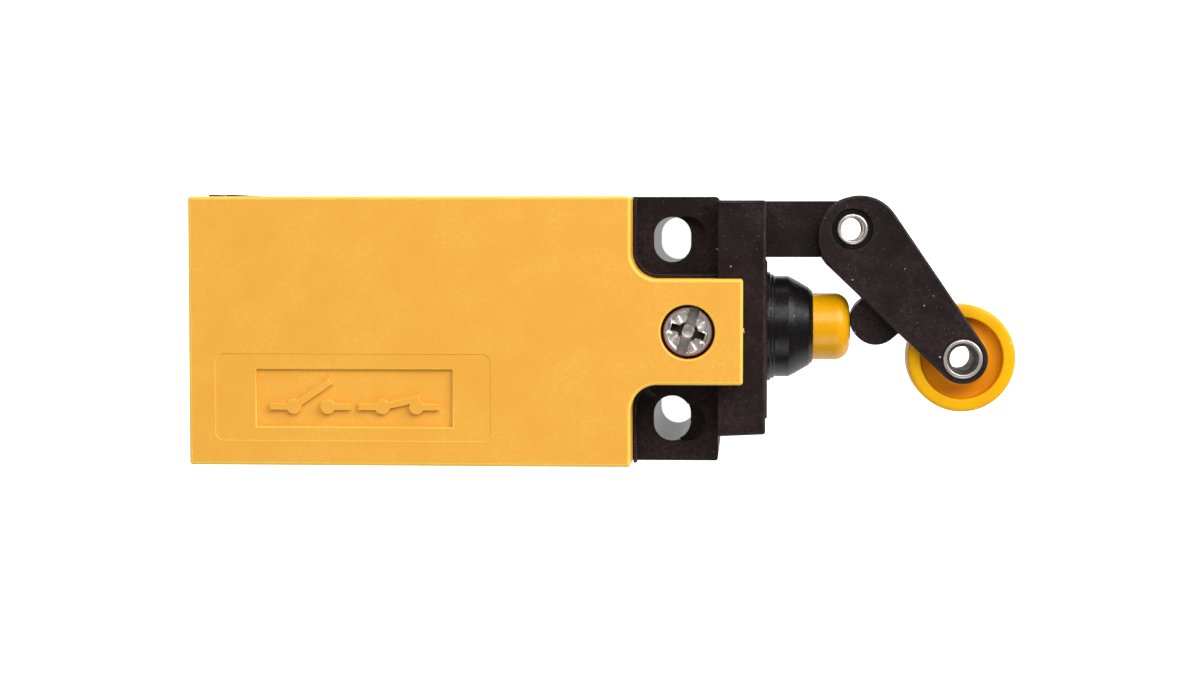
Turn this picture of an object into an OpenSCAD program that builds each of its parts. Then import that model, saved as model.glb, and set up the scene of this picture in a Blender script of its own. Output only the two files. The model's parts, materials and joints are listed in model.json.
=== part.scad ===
// Roller-lever limit switch in a moulded plastic housing, lying on its back.
// Origin: midway between the two fixing slots, on the mounting face.
// +Z points out of the mounting face to the cover, +X points to the head and its roller.
// Heights z are measured from the mounting face. The plunger's axis runs along X at y = 0.

/* [Housing] */
// Length of the housing, from the cable end to the head end
body_l = 61.3; // [58:0.1:80]
// Width of the housing
body_w = 31; // [31:0.5:42]
// Height from the mounting face to the top of the cover
body_h = 33.5; // [33.5:0.5:44]
// Thickness of the housing's side walls
wall = 2.2; // [2:0.1:2.6]
// Thickness of the housing's floor
floor_t = 2.5; // [2:0.1:3.5]
// Radius of the cable entry, at the crests of its thread
entry_r = 9.25; // [7:0.05:9.5]
// Length of the threaded cable entry
entry_l = 8; // [6:0.5:9]
// Height of the cable entry's axis
entry_z = 13.5; // [12:0.1:14]

/* [Fixing slots] */
// Distance between the centres of the two slots
slot_pitch = 21; // [20:0.1:22]
// Width of a slot, along the housing
slot_w = 4.3; // [4.2:0.1:4.6]
// Length of a slot, across the housing
slot_l = 5.3; // [4.6:0.1:6]
// Distance from the slots' centres to the head end
slot_inset = 5.4; // [5:0.1:6]
// Radius of the blind pocket beside each slot
pocket_r = 2.2; // [1.8:0.1:2.4]
// Depth of the blind pockets
pocket_depth = 1.6; // [1:0.1:3]
// Distance between the centres of the two pockets
pocket_pitch = 22; // [21:0.1:22.5]
// Offset of the pockets from the slots, towards the head
pocket_shift = 1.7; // [1:0.1:2]

/* [Cover] */
// Height of the cover's skirt, from the base's rim to the cover's face
cover_depth = 8.5; // [8:0.1:9.5]
// Thickness of the cover's face
cover_top = 2; // [1.6:0.1:2.4]
// Thickness of the cover's skirt
skirt_t = 1.2; // [1:0.1:1.4]
// Setback of the cover from the base at the cable end
cover_setback = 0.3; // [0.1:0.1:1]
// Length of the ears that the cover leaves free
ear_l = 9.9; // [9:0.1:11]
// Width of the tongue between the ears
tongue_w = 12.1; // [11:0.1:13]
// Length of the tongue past the housing, over the head
tongue_over = 2.9; // [1:0.1:4]
// Thickness of the tongue's side walls
tongue_wall = 1.4; // [1.2:0.1:1.8]
// Radius of the inner corners beside the tongue
fillet_r = 3; // [1:0.1:4]
// Thickness of the low rim on the ears, beside the cover
rim_t = 0.35; // [0.3:0.05:0.6]
// Height of the rim above the ears
rim_h = 3.2; // [1:0.1:5]
// Depth of the sunken maker's panel
panel_depth = 0.6; // [0.3:0.05:0.8]
// Height of the base's sealing lip
lip_h = 1.5; // [1:0.1:2]
// Thickness of the cover's gasket
gasket_t = 0.8; // [0.5:0.1:1]

/* [Cover screw] */
// Distance from the screw to the head end
screw_inset = 3.4; // [3:0.1:4]
// Radius of the screw's thread
screw_r = 1.6; // [1.4:0.05:1.75]
// Radius of the screw's head
screw_head_r = 2.85; // [2.4:0.05:3]
// Height of the screw's head
screw_head_h = 2.2; // [1.6:0.1:2.4]
// Depth of the head's top below the cover's face
screw_sunk = 1.2; // [0.5:0.1:1.4]
// Radius of the recess around the screw's head
recess_r = 3.1; // [3.1:0.05:3.6]
// Radius of the brass insert
insert_r = 2.4; // [2.2:0.05:2.6]

/* [Head] */
// Thickness of the head's plate
plate_t = 5.5; // [5:0.1:7]
// Height of the head's plate
plate_h = 27; // [24:0.5:30]
// Reach of the plate from the plunger's axis, on the lever's side
plate_hi = 15.05; // [14.8:0.05:15.5]
// Reach of the plate from the plunger's axis, on the other side
plate_lo = 12.2; // [11:0.1:14]
// Inward draft of the plate's lower side over its thickness
plate_draft = 0.25; // [0:0.05:0.5]
// Thickness of the raised pad on the plate's face
pad_t = 0.22; // [0.1:0.02:0.4]
// Thickness of the arm that carries the lever
arm_t = 5; // [4:0.1:6]
// Distance from the plate's face to the lever's pivot
pivot_reach = 10.3; // [10:0.1:12]
// Distance from the plunger's axis to the lever's pivot
pivot_y = 11.7; // [11.5:0.1:12]
// Radius of the arm's rounded end
arm_end_r = 3.35; // [3:0.05:3.4]

/* [Plunger] */
// Radius of the plunger's cap
plunger_r = 4; // [3.5:0.05:4.7]
// Distance from the plate's face to the plunger's tip
plunger_reach = 10.2; // [10:0.05:10.2]
// Radius of the plunger's stem
stem_r = 2.6; // [2.2:0.05:2.7]
// Step from the cap out to the collar that stops it
collar_step = 0.5; // [0.4:0.05:0.8]
// Full travel of the plunger
travel = 3.4; // [3:0.1:3.4]
// Radius of the return spring's wire
spring_wire_r = 0.32; // [0.25:0.01:0.35]

/* [Boot] */
// Radius of the boot's flange
flange_r = 6.55; // [6.2:0.05:7]
// Radius of the boot's straight part
boot_r = 6.05; // [5.6:0.05:6.1]
// Distance that the boot stands off the plate
boot_l = 5.9; // [5:0.1:6]

/* [Lever] */
// Radius of the lever's end at the pivot
lever_r = 4.98; // [4.5:0.01:5.2]
// Radius of the lever's end at the roller
lever_tip_r = 3; // [2.8:0.1:4]
// Roller's axis ahead of the pivot
roller_dx = 13.07; // [12:0.01:15]
// Roller's axis below the pivot
roller_dy = 15.35; // [14:0.01:17]
// Radius of the lobe that presses the plunger
lobe_r = 2.95; // [2.5:0.05:3]
// Lobe's centre ahead of the pivot
lobe_dx = 2.9; // [2.9:0.05:3.2]
// Lobe's centre below the pivot
lobe_dy = 10.87; // [10.5:0.01:11]
// Thickness of the lobe
lobe_t = 5; // [4:0.1:5]
// Full swing of the lever, in degrees
swing = 17.5; // [10:0.5:17.5]

/* [Roller] */
// Radius of the roller
roller_r = 6.4; // [6:0.1:8]
// Width of the roller
roller_w = 6; // [5.4:0.1:8]
// Width of the flat rim around the dish
rim_w = 1.5; // [1:0.1:2]
// Depth of the dish
dish_depth = 1.1; // [0.5:0.1:1.6]
// Thickness of the lever's cheeks beside the roller
cheek_t = 1.3; // [1.1:0.05:2]

/* [Rivets] */
// Radius of the pivot rivet
pivot_r = 1.85; // [1.5:0.05:2.3]
// Radius of the hole through the pivot rivet
pivot_bore = 1.15; // [0.8:0.05:1.3]
// Radius of the roller's rivet
axle_r = 1.95; // [1.7:0.05:2.1]
// Radius of the hole through the roller's rivet
axle_bore = 1.5; // [1.2:0.05:1.6]
// Radius of the rivets' rolled heads
rivet_head_r = 2.35; // [2.2:0.05:2.6]

/* [Contacts] */
// Width of the contact carrier
carrier_w = 5.2; // [4:0.1:5.4]
// Height of the contact carrier
carrier_h = 7; // [6:0.1:8]
// Thickness of the contact strips
strip_t = 0.8; // [0.6:0.1:1]
// Height of the contact bridges
bridge_h = 4; // [3:0.1:4.4]
// Radius of the contact tips
tip_r = 1.1; // [0.8:0.1:1.2]
// Thickness of the contact tips
tip_t = 0.5; // [0.3:0.1:0.6]
// Length of a bridge's window in the carrier
window_l = 5.9; // [5:0.1:7]
// Radius of the terminal screws
terminal_r = 1.5; // [1.2:0.05:1.75]
// Radius of the screws that hold the contact block
block_screw_r = 1.2; // [1:0.05:1.4]

/* [Fits] */
// Radial clearance of a turning or sliding round fit
run_gap = 0.05; // [0.02:0.01:0.1]
// Clearance on each side of a flat sliding fit
slide_gap = 0.15; // [0.1:0.01:0.25]
// Clearance between still parts that fit into each other
seat_gap = 0.1; // [0.05:0.01:0.15]
// Air gap between faces that only just touch
touch_gap = 0.05; // [0.02:0.01:0.08]

/* [Hidden] */
$fn = 64;
eps = 0.01;

// Colours
black = [0.16, 0.13, 0.13];
yellow = [0.96, 0.70, 0.20];
orange = [0.92, 0.62, 0.08];
rubber = [0.08, 0.08, 0.09];
nickel = [0.78, 0.76, 0.72];
brass = [0.78, 0.63, 0.30];
silver = [0.86, 0.86, 0.84];
ivory = [0.85, 0.83, 0.76];

// Heights
axis_z = body_h / 2;
base_h = body_h - cover_depth;
lip_top = base_h + lip_h;
shelf_z = lip_top + gasket_t;

// Places along the housing
head_x = slot_inset;
base_x0 = head_x - body_l;
plate_x = head_x + plate_t;
cover_x0 = base_x0 + cover_setback;
cover_x1 = head_x - ear_l;
tongue_x1 = head_x + tongue_over;
side_y = body_w / 2;

// Sealing lip, just inside the skirt, and the cavity that it goes round
lip_x0 = cover_x0 + skirt_t + seat_gap;
lip_x1 = cover_x1 - skirt_t - seat_gap;
lip_y = side_y - skirt_t - seat_gap;
cavity_y = side_y - wall;
lip_t = lip_y - cavity_y;
cavity_x0 = base_x0 + entry_l;
cavity_x1 = lip_x1 - lip_t;

// Plunger, its passage, and the twist lock of the head's spigot
collar_r = plunger_r + collar_step;
collar_l = 1.7;
collar_x1 = plate_x - 4;
collar_x0 = collar_x1 - collar_l;
guide_r = collar_r + seat_gap;
spigot_r = guide_r + 1.5;
spigot_l = 3;
spigot_x0 = head_x - spigot_l;
lug_r = spigot_r + 0.9;
lug_l = 0.9;
lug_half_w = 3;
stem_wall = 2.3;
chamber_x0 = cavity_x1 + stem_wall;
stem_x0 = cavity_x1 - 1;
tip_x = plate_x + plunger_reach;
seal_r = lug_r + 1.4;
seal_wire_r = 0.48;

// Cover screw, its insert and the raised seat between the ears
screw_x = head_x - screw_inset;
seat_y = tongue_w / 2 - tongue_wall - slide_gap;
seat_x0 = cover_x1 + slide_gap;
seat_z = base_h + 3;
head_z1 = body_h - screw_sunk;
head_z0 = head_z1 - screw_head_h;
retainer_t = 0.6;
retainer_z = seat_z + seat_gap;
insert_z0 = axis_z + lug_r + seat_gap + 0.55;
insert_z1 = seat_z - seat_gap;

// Pivot, lever and roller
pivot_x = plate_x + pivot_reach;
pivot = [pivot_x, pivot_y];
roller_at = [pivot_x + roller_dx, pivot_y - roller_dy];
lobe_at = [pivot_x + lobe_dx, pivot_y - lobe_dy];
heel_at = [pivot_x + 0.87, pivot_y - 0.97];
lever_w = roller_w + 2 * (2 * seat_gap + cheek_t);
arm_gap = arm_t + 2 * slide_gap;
fork_gap = roller_w + 4 * seat_gap;
swing_room = 0.45;
rivet_recess = 0.35;
rivet_proud = 0.25;

// Contact block, measured back from the cavity's head end
block_x1 = cavity_x1 - 2 * seat_gap;
block_y = cavity_y - seat_gap;
block_top = axis_z + bridge_h / 2 + 0.5;
channel_y = carrier_w / 2 + slide_gap;
channel_z = carrier_h / 2 + slide_gap;
carrier_x1 = stem_x0 - touch_gap;
nc_tab_x = block_x1 - 3.6;
nc_bridge_x = nc_tab_x - 2 * tip_t - touch_gap - strip_t;
nc_window_x1 = nc_bridge_x + strip_t + touch_gap;
nc_window_x0 = nc_window_x1 - window_l;
no_window_x1 = nc_window_x0 - 1.2;
no_window_x0 = no_window_x1 - window_l;
no_bridge_x = no_window_x0 + touch_gap;
no_tab_x = no_bridge_x - 2 * tip_t - travel - touch_gap - strip_t;
carrier_x0 = no_window_x0 - 1.7;
spring_room_x0 = carrier_x0 - 9.8;
block_x0 = spring_room_x0 - 1.2;
nc_pocket = [nc_bridge_x - travel - 0.35, nc_tab_x + strip_t + seat_gap];
no_pocket = [no_tab_x - seat_gap, no_bridge_x + strip_t + 0.35];
nc_terminal_x = (nc_pocket[0] + no_pocket[1]) / 2;
no_terminal_x = (block_x0 + no_pocket[0]) / 2;
lid_y = 6.6;
lid_top = block_top + 3.35;
strip_y0 = lid_y + 0.4;
strip_y1 = block_y - 0.6;
tip_y = strip_y0 + tip_r + seat_gap;
bridge_y = tip_y + tip_r + 0.2;
terminal_y = block_y - 3;
clamp_t = 1.2;
clamp_z = block_top + strip_t + touch_gap;
block_screw_y = 4.6;
boss_r = 2.4;
boss_h = 3;
terminals = [
    for (x = [nc_terminal_x, no_terminal_x])
        for (s = [-1, 1])
            [x, s * terminal_y]
];
block_screw_places = [
    for (x = [nc_terminal_x, no_terminal_x])
        for (s = [-1, 1])
            [x, s * block_screw_y]
];

// --- Helpers ---

// A box between two opposite corners
module box(low, high) {
    translate(low) cube(high - low);
}

// The same shape on both sides of the housing
module both_sides() {
    children();
    mirror([0, 1, 0]) children();
}

// Turns a shape made along Z to lie on the plunger's axis, from x towards the head
module on_axis(x = 0) {
    translate([x, 0, axis_z]) rotate([0, 90, 0]) children();
}

// A round bar on the plunger's axis
module bar(r, x0, x1) {
    on_axis(x0) cylinder(r = r, h = x1 - x0);
}

// A ring made by turning its section: inner and outer radius, low and high end
module ring(r0, r1, z0, z1) {
    rotate_extrude() translate([r0, z0]) square([r1 - r0, z1 - z0]);
}

// A layer of a flat outline, between two heights
module layer(z0, z1) {
    translate([0, 0, z0]) linear_extrude(z1 - z0) children();
}

// Points on an arc
function arc(c, r, a0, a1, n) =
    [for (i = [0 : n]) c + r * [cos(a0 + (a1 - a0) * i / n), sin(a0 + (a1 - a0) * i / n)]];

// A compression spring on the plunger's axis, with closed end turns.
// Its wire is swept along the helix as rings of wire_n points.
wire_n = 6;
turn_n = 14;
function ease(t, turns) = let (e = 1 / turns)
    t < e ? 0.5 * t * t / e : t > 1 - e ? 1 - e - 0.5 * (1 - t) * (1 - t) / e : t - 0.5 * e;
function coil_x(t, turns) = ease(t, turns) / (1 - 1 / turns);
module coil_spring(r, wire_r, x0, x1, turns) {
    steps = turns * turn_n;
    run = x1 - x0 - 2 * wire_r;
    rings = [
        for (i = [0 : steps])
            let (t = i / steps, a = 360 * turns * t, x = x0 + wire_r + run * coil_x(t, turns))
                for (j = [0 : wire_n - 1])
                    let (b = 360 * j / wire_n, d = r + wire_r * cos(b))
                        [x + wire_r * sin(b), d * cos(a), axis_z + d * sin(a)]
    ];
    sides = [
        for (i = [0 : steps - 1])
            for (j = [0 : wire_n - 1])
                let (k = (j + 1) % wire_n, p = i * wire_n)
                    [p + j, p + k, p + wire_n + k, p + wire_n + j]
    ];
    caps = [
        [for (j = [0 : wire_n - 1]) wire_n - 1 - j],
        [for (j = [0 : wire_n - 1]) steps * wire_n + j]
    ];
    polyhedron(points = rings, faces = concat(sides, caps), convexity = 8);
}

// --- Housing ---

module slot_hole(y) {
    run = (slot_l - slot_w) / 2;
    for (s = [-1, 1])
        translate([0, y + s * run, -eps]) cylinder(r = slot_w / 2, h = base_h + 2 * eps);
    box([-slot_w / 2, y - run, -eps], [slot_w / 2, y + run, base_h + eps]);
}

// The cover's outline, grown by a gap on the side of the ears
module cover_outline(gap = 0) {
    tongue_y = tongue_w / 2 + gap;
    translate([cover_x0, -side_y]) square([cover_x1 + gap - cover_x0, body_w]);
    translate([cover_x1 - 1, -tongue_y]) square([tongue_x1 - cover_x1 + 1, 2 * tongue_y]);
    for (s = [-1, 1])
        difference() {
            translate([cover_x1 - eps, s > 0 ? tongue_y - eps : -tongue_w / 2 - fillet_r])
                square([fillet_r + eps, fillet_r - gap + eps]);
            translate([cover_x1 + fillet_r, s * (tongue_w / 2 + fillet_r)]) circle(r = fillet_r - gap);
        }
}

// Low rim that follows the cover round the ears
module ear_rim() {
    intersection() {
        layer(base_h - 1, base_h + rim_h) difference() {
            cover_outline(seat_gap + rim_t);
            cover_outline(seat_gap);
        }
        box([cover_x1, -side_y, base_h - 1], [head_x, side_y, body_h]);
    }
}

module base_block() {
    box([base_x0, -side_y, 0], [head_x, side_y, base_h]);
    ear_rim();
    // Sealing lip
    box([lip_x0, -lip_y, base_h - 1], [lip_x1, lip_y, lip_top]);
    // Raised seat for the cover screw
    box([seat_x0, -seat_y, base_h - 1], [head_x, seat_y, seat_z]);
    // Two small ribs on each side, near the cable end
    for (x = [0.85, 2.9])
        both_sides()
            box([base_x0 + x, side_y - 1, 6], [base_x0 + x + 1.4, side_y + 0.28, base_h]);
}

module plunger_passage() {
    bar(stem_r + run_gap, cavity_x1 - eps, chamber_x0 + eps);
    bar(guide_r, chamber_x0, spigot_x0 + eps);
    bar(spigot_r + seat_gap, spigot_x0 - seat_gap, head_x + eps);
    // Ring that the spigot's two lugs turn in, and the way in for them, above and below
    bar(lug_r + seat_gap, spigot_x0 - seat_gap, spigot_x0 + lug_l + seat_gap);
    intersection() {
        bar(lug_r + seat_gap, spigot_x0 - seat_gap, head_x + eps);
        box(
            [spigot_x0 - 1, -lug_half_w - slide_gap, 0],
            [head_x + 1, lug_half_w + slide_gap, base_h]
        );
    }
}

module base_housing() {
    color(black) {
        difference() {
            base_block();
            box([cavity_x0, -cavity_y, floor_t], [cavity_x1, cavity_y, lip_top + eps]);
            // Floor of the lip's step behind the cable entry
            box([lip_x0 + lip_t, -cavity_y, base_h], [cavity_x1, cavity_y, lip_top + eps]);
            translate([base_x0 - eps, 0, entry_z])
                rotate([0, 90, 0]) cylinder(r = entry_r, h = entry_l + 2 * eps);
            plunger_passage();
            both_sides() slot_hole(slot_pitch / 2);
            both_sides()
                translate([pocket_shift, pocket_pitch / 2, base_h - pocket_depth])
                    cylinder(r = pocket_r, h = pocket_depth + eps);
            translate([screw_x, 0, insert_z0])
                cylinder(r = insert_r + eps, h = seat_z - insert_z0 + eps);
        }
        // Bosses for the contact block's screws
        for (p = block_screw_places)
            translate([p[0], p[1], 0]) difference() {
                translate([0, 0, floor_t - 1]) cylinder(r = boss_r, h = boss_h + 1);
                translate([0, 0, floor_t]) cylinder(r = block_screw_r + run_gap, h = boss_h + eps);
            }
    }
}

// --- Cover ---

module front_cover() {
    color(yellow) difference() {
        layer(base_h, body_h) cover_outline();
        // Inside of the skirt, the shelf over the gasket and the hollow above it
        box(
            [cover_x0 + skirt_t, -side_y + skirt_t, base_h - eps],
            [cover_x1 - skirt_t, side_y - skirt_t, shelf_z]
        );
        box(
            [lip_x0 + lip_t, -cavity_y, shelf_z - eps],
            [cavity_x1, cavity_y, body_h - cover_top]
        );
        // Underside of the tongue: room for the raised seat and, past it, for the head
        box([cover_x1, -seat_y - slide_gap, base_h - eps], [tongue_x1 + 1, seat_y + slide_gap, seat_z]);
        box(
            [head_x - slide_gap, -side_y, base_h - eps],
            [tongue_x1 + 1, side_y, axis_z + plate_h / 2 + 2 * slide_gap]
        );
        // Way for the screw: its head, its shank and the retaining washer
        translate([screw_x, 0, head_z0]) cylinder(r = recess_r, h = body_h - head_z0 + eps);
        translate([screw_x, 0, seat_z - eps])
            cylinder(r = screw_r + 0.2, h = head_z0 - seat_z + 2 * eps);
        translate([screw_x, 0, seat_z - eps])
            cylinder(r = screw_head_r + seat_gap, h = retainer_t + 2 * seat_gap + eps);
        // Sunken maker's panel, left blank
        box([cover_x0 + 7.9, -11, body_h - panel_depth], [cover_x0 + 30.6, -4.4, body_h + eps]);
    }
}

module cover_gasket() {
    color(rubber) difference() {
        box([lip_x0, -lip_y, lip_top + eps], [lip_x1, lip_y, shelf_z]);
        box([lip_x0 + lip_t, -cavity_y, lip_top], [cavity_x1, cavity_y, shelf_z + eps]);
    }
}

module cover_screw() {
    color(nickel) translate([screw_x, 0, 0]) difference() {
        union() {
            translate([0, 0, head_z0]) cylinder(r = screw_head_r, h = screw_head_h);
            translate([0, 0, insert_z0 + 0.3]) cylinder(r = screw_r, h = head_z0 - insert_z0);
        }
        for (a = [-18, 72])
            rotate([0, 0, a])
                box([-screw_head_r * 0.75, -0.55, head_z1 - 1.3], [screw_head_r * 0.75, 0.55, body_h]);
    }
}

module cover_screw_retainer() {
    color(nickel) translate([screw_x, 0, retainer_z])
        ring(screw_r + run_gap, screw_head_r - 0.1, 0, retainer_t);
}

module threaded_insert() {
    color(brass) translate([screw_x, 0, 0]) ring(screw_r + run_gap, insert_r, insert_z0, insert_z1);
}

// --- Head ---

module plate_outline() {
    polygon([
        [head_x, -plate_lo],
        [plate_x, -plate_lo + plate_draft],
        [plate_x, plate_hi],
        [head_x, plate_hi]
    ]);
}

module arm_outline() {
    translate(pivot) circle(r = arm_end_r);
    polygon([
        [plate_x - 1, pivot_y - arm_end_r],
        [pivot_x, pivot_y - arm_end_r],
        [pivot_x, pivot_y + arm_end_r],
        [plate_x - 1, plate_hi]
    ]);
}

module spigot_lugs() {
    intersection() {
        bar(lug_r, spigot_x0, spigot_x0 + lug_l);
        box([spigot_x0 - 1, -lug_r, axis_z - lug_half_w], [head_x, lug_r, axis_z + lug_half_w]);
    }
}

module head_body() {
    color(black) difference() {
        union() {
            layer(axis_z - plate_h / 2, axis_z + plate_h / 2) plate_outline();
            layer(axis_z - arm_t / 2, axis_z + arm_t / 2) arm_outline();
            bar(spigot_r, spigot_x0, head_x + 1);
            spigot_lugs();
            difference() {
                box([plate_x - 1, -10.4, axis_z - 9.5], [plate_x + pad_t, 8, axis_z + 9.5]);
                bar(flange_r + seat_gap, plate_x, plate_x + 1);
            }
        }
        bar(guide_r, spigot_x0 - eps, collar_x1 + touch_gap);
        bar(plunger_r + run_gap, collar_x1, plate_x + 1);
        // Groove for the seal, and groove for the boot's bead
        on_axis(head_x) ring(seal_r - 0.6, seal_r + 0.6, -eps, 1);
        on_axis(plate_x) ring(boot_r - 0.9, boot_r - 0.2, -1.1, eps);
        translate([pivot_x, pivot_y, axis_z]) cylinder(r = pivot_r + eps, h = arm_t + 1, center = true);
    }
}

module head_seal() {
    color(rubber) on_axis(head_x + seal_wire_r + eps)
        rotate_extrude() translate([seal_r, 0]) circle(r = seal_wire_r);
}

module rubber_boot() {
    lip_r = plunger_r + run_gap;
    cone_x = 5.1;
    color(rubber) on_axis(plate_x) rotate_extrude() polygon(concat(
        [
            [boot_r - 0.85, eps],
            [boot_r - 0.85, -1],
            [boot_r - 0.25, -1],
            [boot_r - 0.25, eps],
            [flange_r, eps],
            [flange_r, 0.7],
            [boot_r, 0.7],
            [boot_r, 2.8]
        ],
        arc([plunger_r + 0.15, boot_l - 0.8], 0.8, 10, 90, 6),
        [
            [lip_r, boot_l],
            [lip_r, boot_l - 1],
            [lip_r + 0.25, boot_l - 1.2],
            [boot_r - 0.85, 2.4]
        ]
    ));
}

module plunger() {
    tip = tip_x - stem_x0;
    edge = 1.7;
    color(orange) on_axis(stem_x0) rotate_extrude() polygon(concat(
        [
            [0, 0],
            [stem_r - 0.4, 0],
            [stem_r, 0.4],
            [stem_r, collar_x0 - stem_x0],
            [collar_r, collar_x0 - stem_x0],
            [collar_r, collar_x1 - stem_x0],
            [plunger_r, collar_x1 - stem_x0]
        ],
        arc([plunger_r - edge, tip - edge - 0.04], edge, 0, 90, 8),
        [[0, tip]]
    ));
}

module plunger_spring() {
    color(nickel) coil_spring(
        (stem_r + guide_r) / 2,
        spring_wire_r,
        chamber_x0 + touch_gap,
        collar_x0 - touch_gap,
        7
    );
}

// --- Lever and roller ---

module lever_outline() {
    hull() {
        translate(heel_at) circle(r = lever_r);
        translate(roller_at) circle(r = lever_tip_r);
    }
}

// Room in the lever for the arm, over the whole swing
module arm_room() {
    r = arm_end_r + swing_room;
    translate(pivot) circle(r = r);
    for (a = [0, swing / 2, swing])
        translate(pivot) rotate(a) translate([-20, -r]) square([20, 2 * r + 1]);
}

module lobe_outline() {
    hull() {
        translate(lobe_at) circle(r = lobe_r);
        translate((heel_at + roller_at) / 2) circle(r = 2.4);
    }
}

module roller_lever() {
    color(black) difference() {
        union() {
            difference() {
                layer(axis_z - lever_w / 2, axis_z + lever_w / 2) lever_outline();
                layer(axis_z - arm_gap / 2, axis_z + arm_gap / 2) arm_room();
            }
            layer(axis_z - lobe_t / 2, axis_z + lobe_t / 2) lobe_outline();
        }
        translate([roller_at[0], roller_at[1], axis_z])
            cylinder(r = roller_r + swing_room, h = fork_gap, center = true);
        translate([pivot_x, pivot_y, axis_z])
            cylinder(r = pivot_r + run_gap, h = lever_w + 1, center = true);
        translate([roller_at[0], roller_at[1], axis_z])
            cylinder(r = axle_r + eps, h = lever_w + 1, center = true);
        for (p = [pivot, roller_at])
            for (s = [-1, 1])
                translate([p[0], p[1], axis_z + s * (lever_w / 2 - rivet_recess / 2 + eps / 2)])
                    cylinder(r = rivet_head_r + seat_gap, h = rivet_recess + eps, center = true);
    }
}

module pivot_rivet() {
    half = lever_w / 2;
    color(nickel) translate([pivot_x, pivot_y, axis_z]) ring(pivot_bore, pivot_r, -half, half);
}

module roller() {
    half = roller_w / 2;
    dish = half - dish_depth;
    hub_r = axle_r + 1.2;
    hub = half + seat_gap;
    dish_r = roller_r - rim_w;
    color(yellow) translate([roller_at[0], roller_at[1], axis_z]) rotate_extrude() polygon([
        [axle_r + run_gap, -hub],
        [hub_r, -hub],
        [hub_r, -dish],
        [dish_r, -dish],
        [dish_r, -half],
        [roller_r, -half],
        [roller_r, half],
        [dish_r, half],
        [dish_r, dish],
        [hub_r, dish],
        [hub_r, hub],
        [axle_r + run_gap, hub]
    ]);
}

module roller_rivet() {
    floor_z = lever_w / 2 - rivet_recess;
    top_z = lever_w / 2 + rivet_proud;
    color(nickel) translate([roller_at[0], roller_at[1], axis_z]) rotate_extrude() polygon([
        [axle_bore, -top_z],
        [rivet_head_r, -top_z],
        [rivet_head_r, -floor_z],
        [axle_r, -floor_z],
        [axle_r, floor_z],
        [rivet_head_r, floor_z],
        [rivet_head_r, top_z],
        [axle_bore, top_z]
    ]);
}

// --- Contacts ---

module contact_block() {
    color(ivory) difference() {
        box([block_x0, -block_y, floor_t + eps], [block_x1, block_y, block_top]);
        // Channel that the carrier slides in, and pockets for the two bridges
        box([spring_room_x0, -channel_y, axis_z - channel_z], [block_x1 + 1, channel_y, lid_top]);
        for (p = [nc_pocket, no_pocket])
            box([p[0], -bridge_y - 0.3, axis_z - bridge_h / 2 - 0.4], [p[1], bridge_y + 0.3, lid_top]);
        for (p = terminals)
            translate([p[0], p[1], block_top - 6]) cylinder(r = terminal_r + seat_gap, h = 7);
        for (p = block_screw_places) {
            translate([p[0], p[1], 0]) cylinder(r = block_screw_r + seat_gap, h = lid_top);
            translate([p[0], p[1], 0])
                cylinder(r = boss_r + slide_gap, h = floor_t + boss_h + slide_gap);
        }
    }
}

module contact_block_lid() {
    color(ivory) difference() {
        box([block_x0, -lid_y, block_top + eps], [block_x1, lid_y, lid_top]);
        box([spring_room_x0, -channel_y, block_top - 1], [block_x1 + 1, channel_y, axis_z + channel_z]);
        for (p = block_screw_places)
            translate([p[0], p[1], block_top - 1]) cylinder(r = block_screw_r + seat_gap, h = 6);
    }
}

module block_screws() {
    color(nickel) for (p = block_screw_places)
        translate([p[0], p[1], 0]) difference() {
            union() {
                translate([0, 0, floor_t + eps])
                    cylinder(r = block_screw_r, h = lid_top - floor_t);
                translate([0, 0, lid_top + eps]) cylinder(r = 1.9, h = 1.4);
            }
            box([-3, -0.3, lid_top + 0.6], [3, 0.3, lid_top + 2]);
        }
}

module contact_carrier() {
    color(orange) difference() {
        box(
            [carrier_x0, -carrier_w / 2, axis_z - carrier_h / 2],
            [carrier_x1, carrier_w / 2, axis_z + carrier_h / 2]
        );
        for (w = [[nc_window_x0, nc_window_x1], [no_window_x0, no_window_x1]])
            box(
                [w[0], -carrier_w, axis_z - bridge_h / 2 - touch_gap],
                [w[1], carrier_w, axis_z + bridge_h / 2 + touch_gap]
            );
    }
}

module bridge(x) {
    color(brass)
        box([x, -bridge_y, axis_z - bridge_h / 2], [x + strip_t, bridge_y, axis_z + bridge_h / 2]);
}

module nc_contact_bridge() {
    bridge(nc_bridge_x);
}

module no_contact_bridge() {
    bridge(no_bridge_x);
}

// A pair of contact tips that start at x
module tip_pair(x) {
    color(silver) both_sides()
        translate([x, tip_y, axis_z]) rotate([0, 90, 0]) cylinder(r = tip_r, h = tip_t);
}

module bridge_contact_tips() {
    tip_pair(nc_bridge_x + strip_t);
    tip_pair(no_bridge_x - tip_t);
}

module fixed_contact_tips() {
    tip_pair(nc_tab_x - tip_t);
    tip_pair(no_tab_x + strip_t);
}

module contact_spring(x0, x1) {
    color(nickel) coil_spring(1.5, 0.2, x0 + touch_gap, x1 - touch_gap, 5);
}

module nc_contact_spring() {
    contact_spring(nc_window_x0, nc_bridge_x);
}

module no_contact_spring() {
    contact_spring(no_bridge_x + strip_t, no_window_x1);
}

module carrier_return_spring() {
    color(nickel)
        coil_spring(2, 0.25, spring_room_x0 + touch_gap, carrier_x0 - touch_gap, 8);
}

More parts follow.
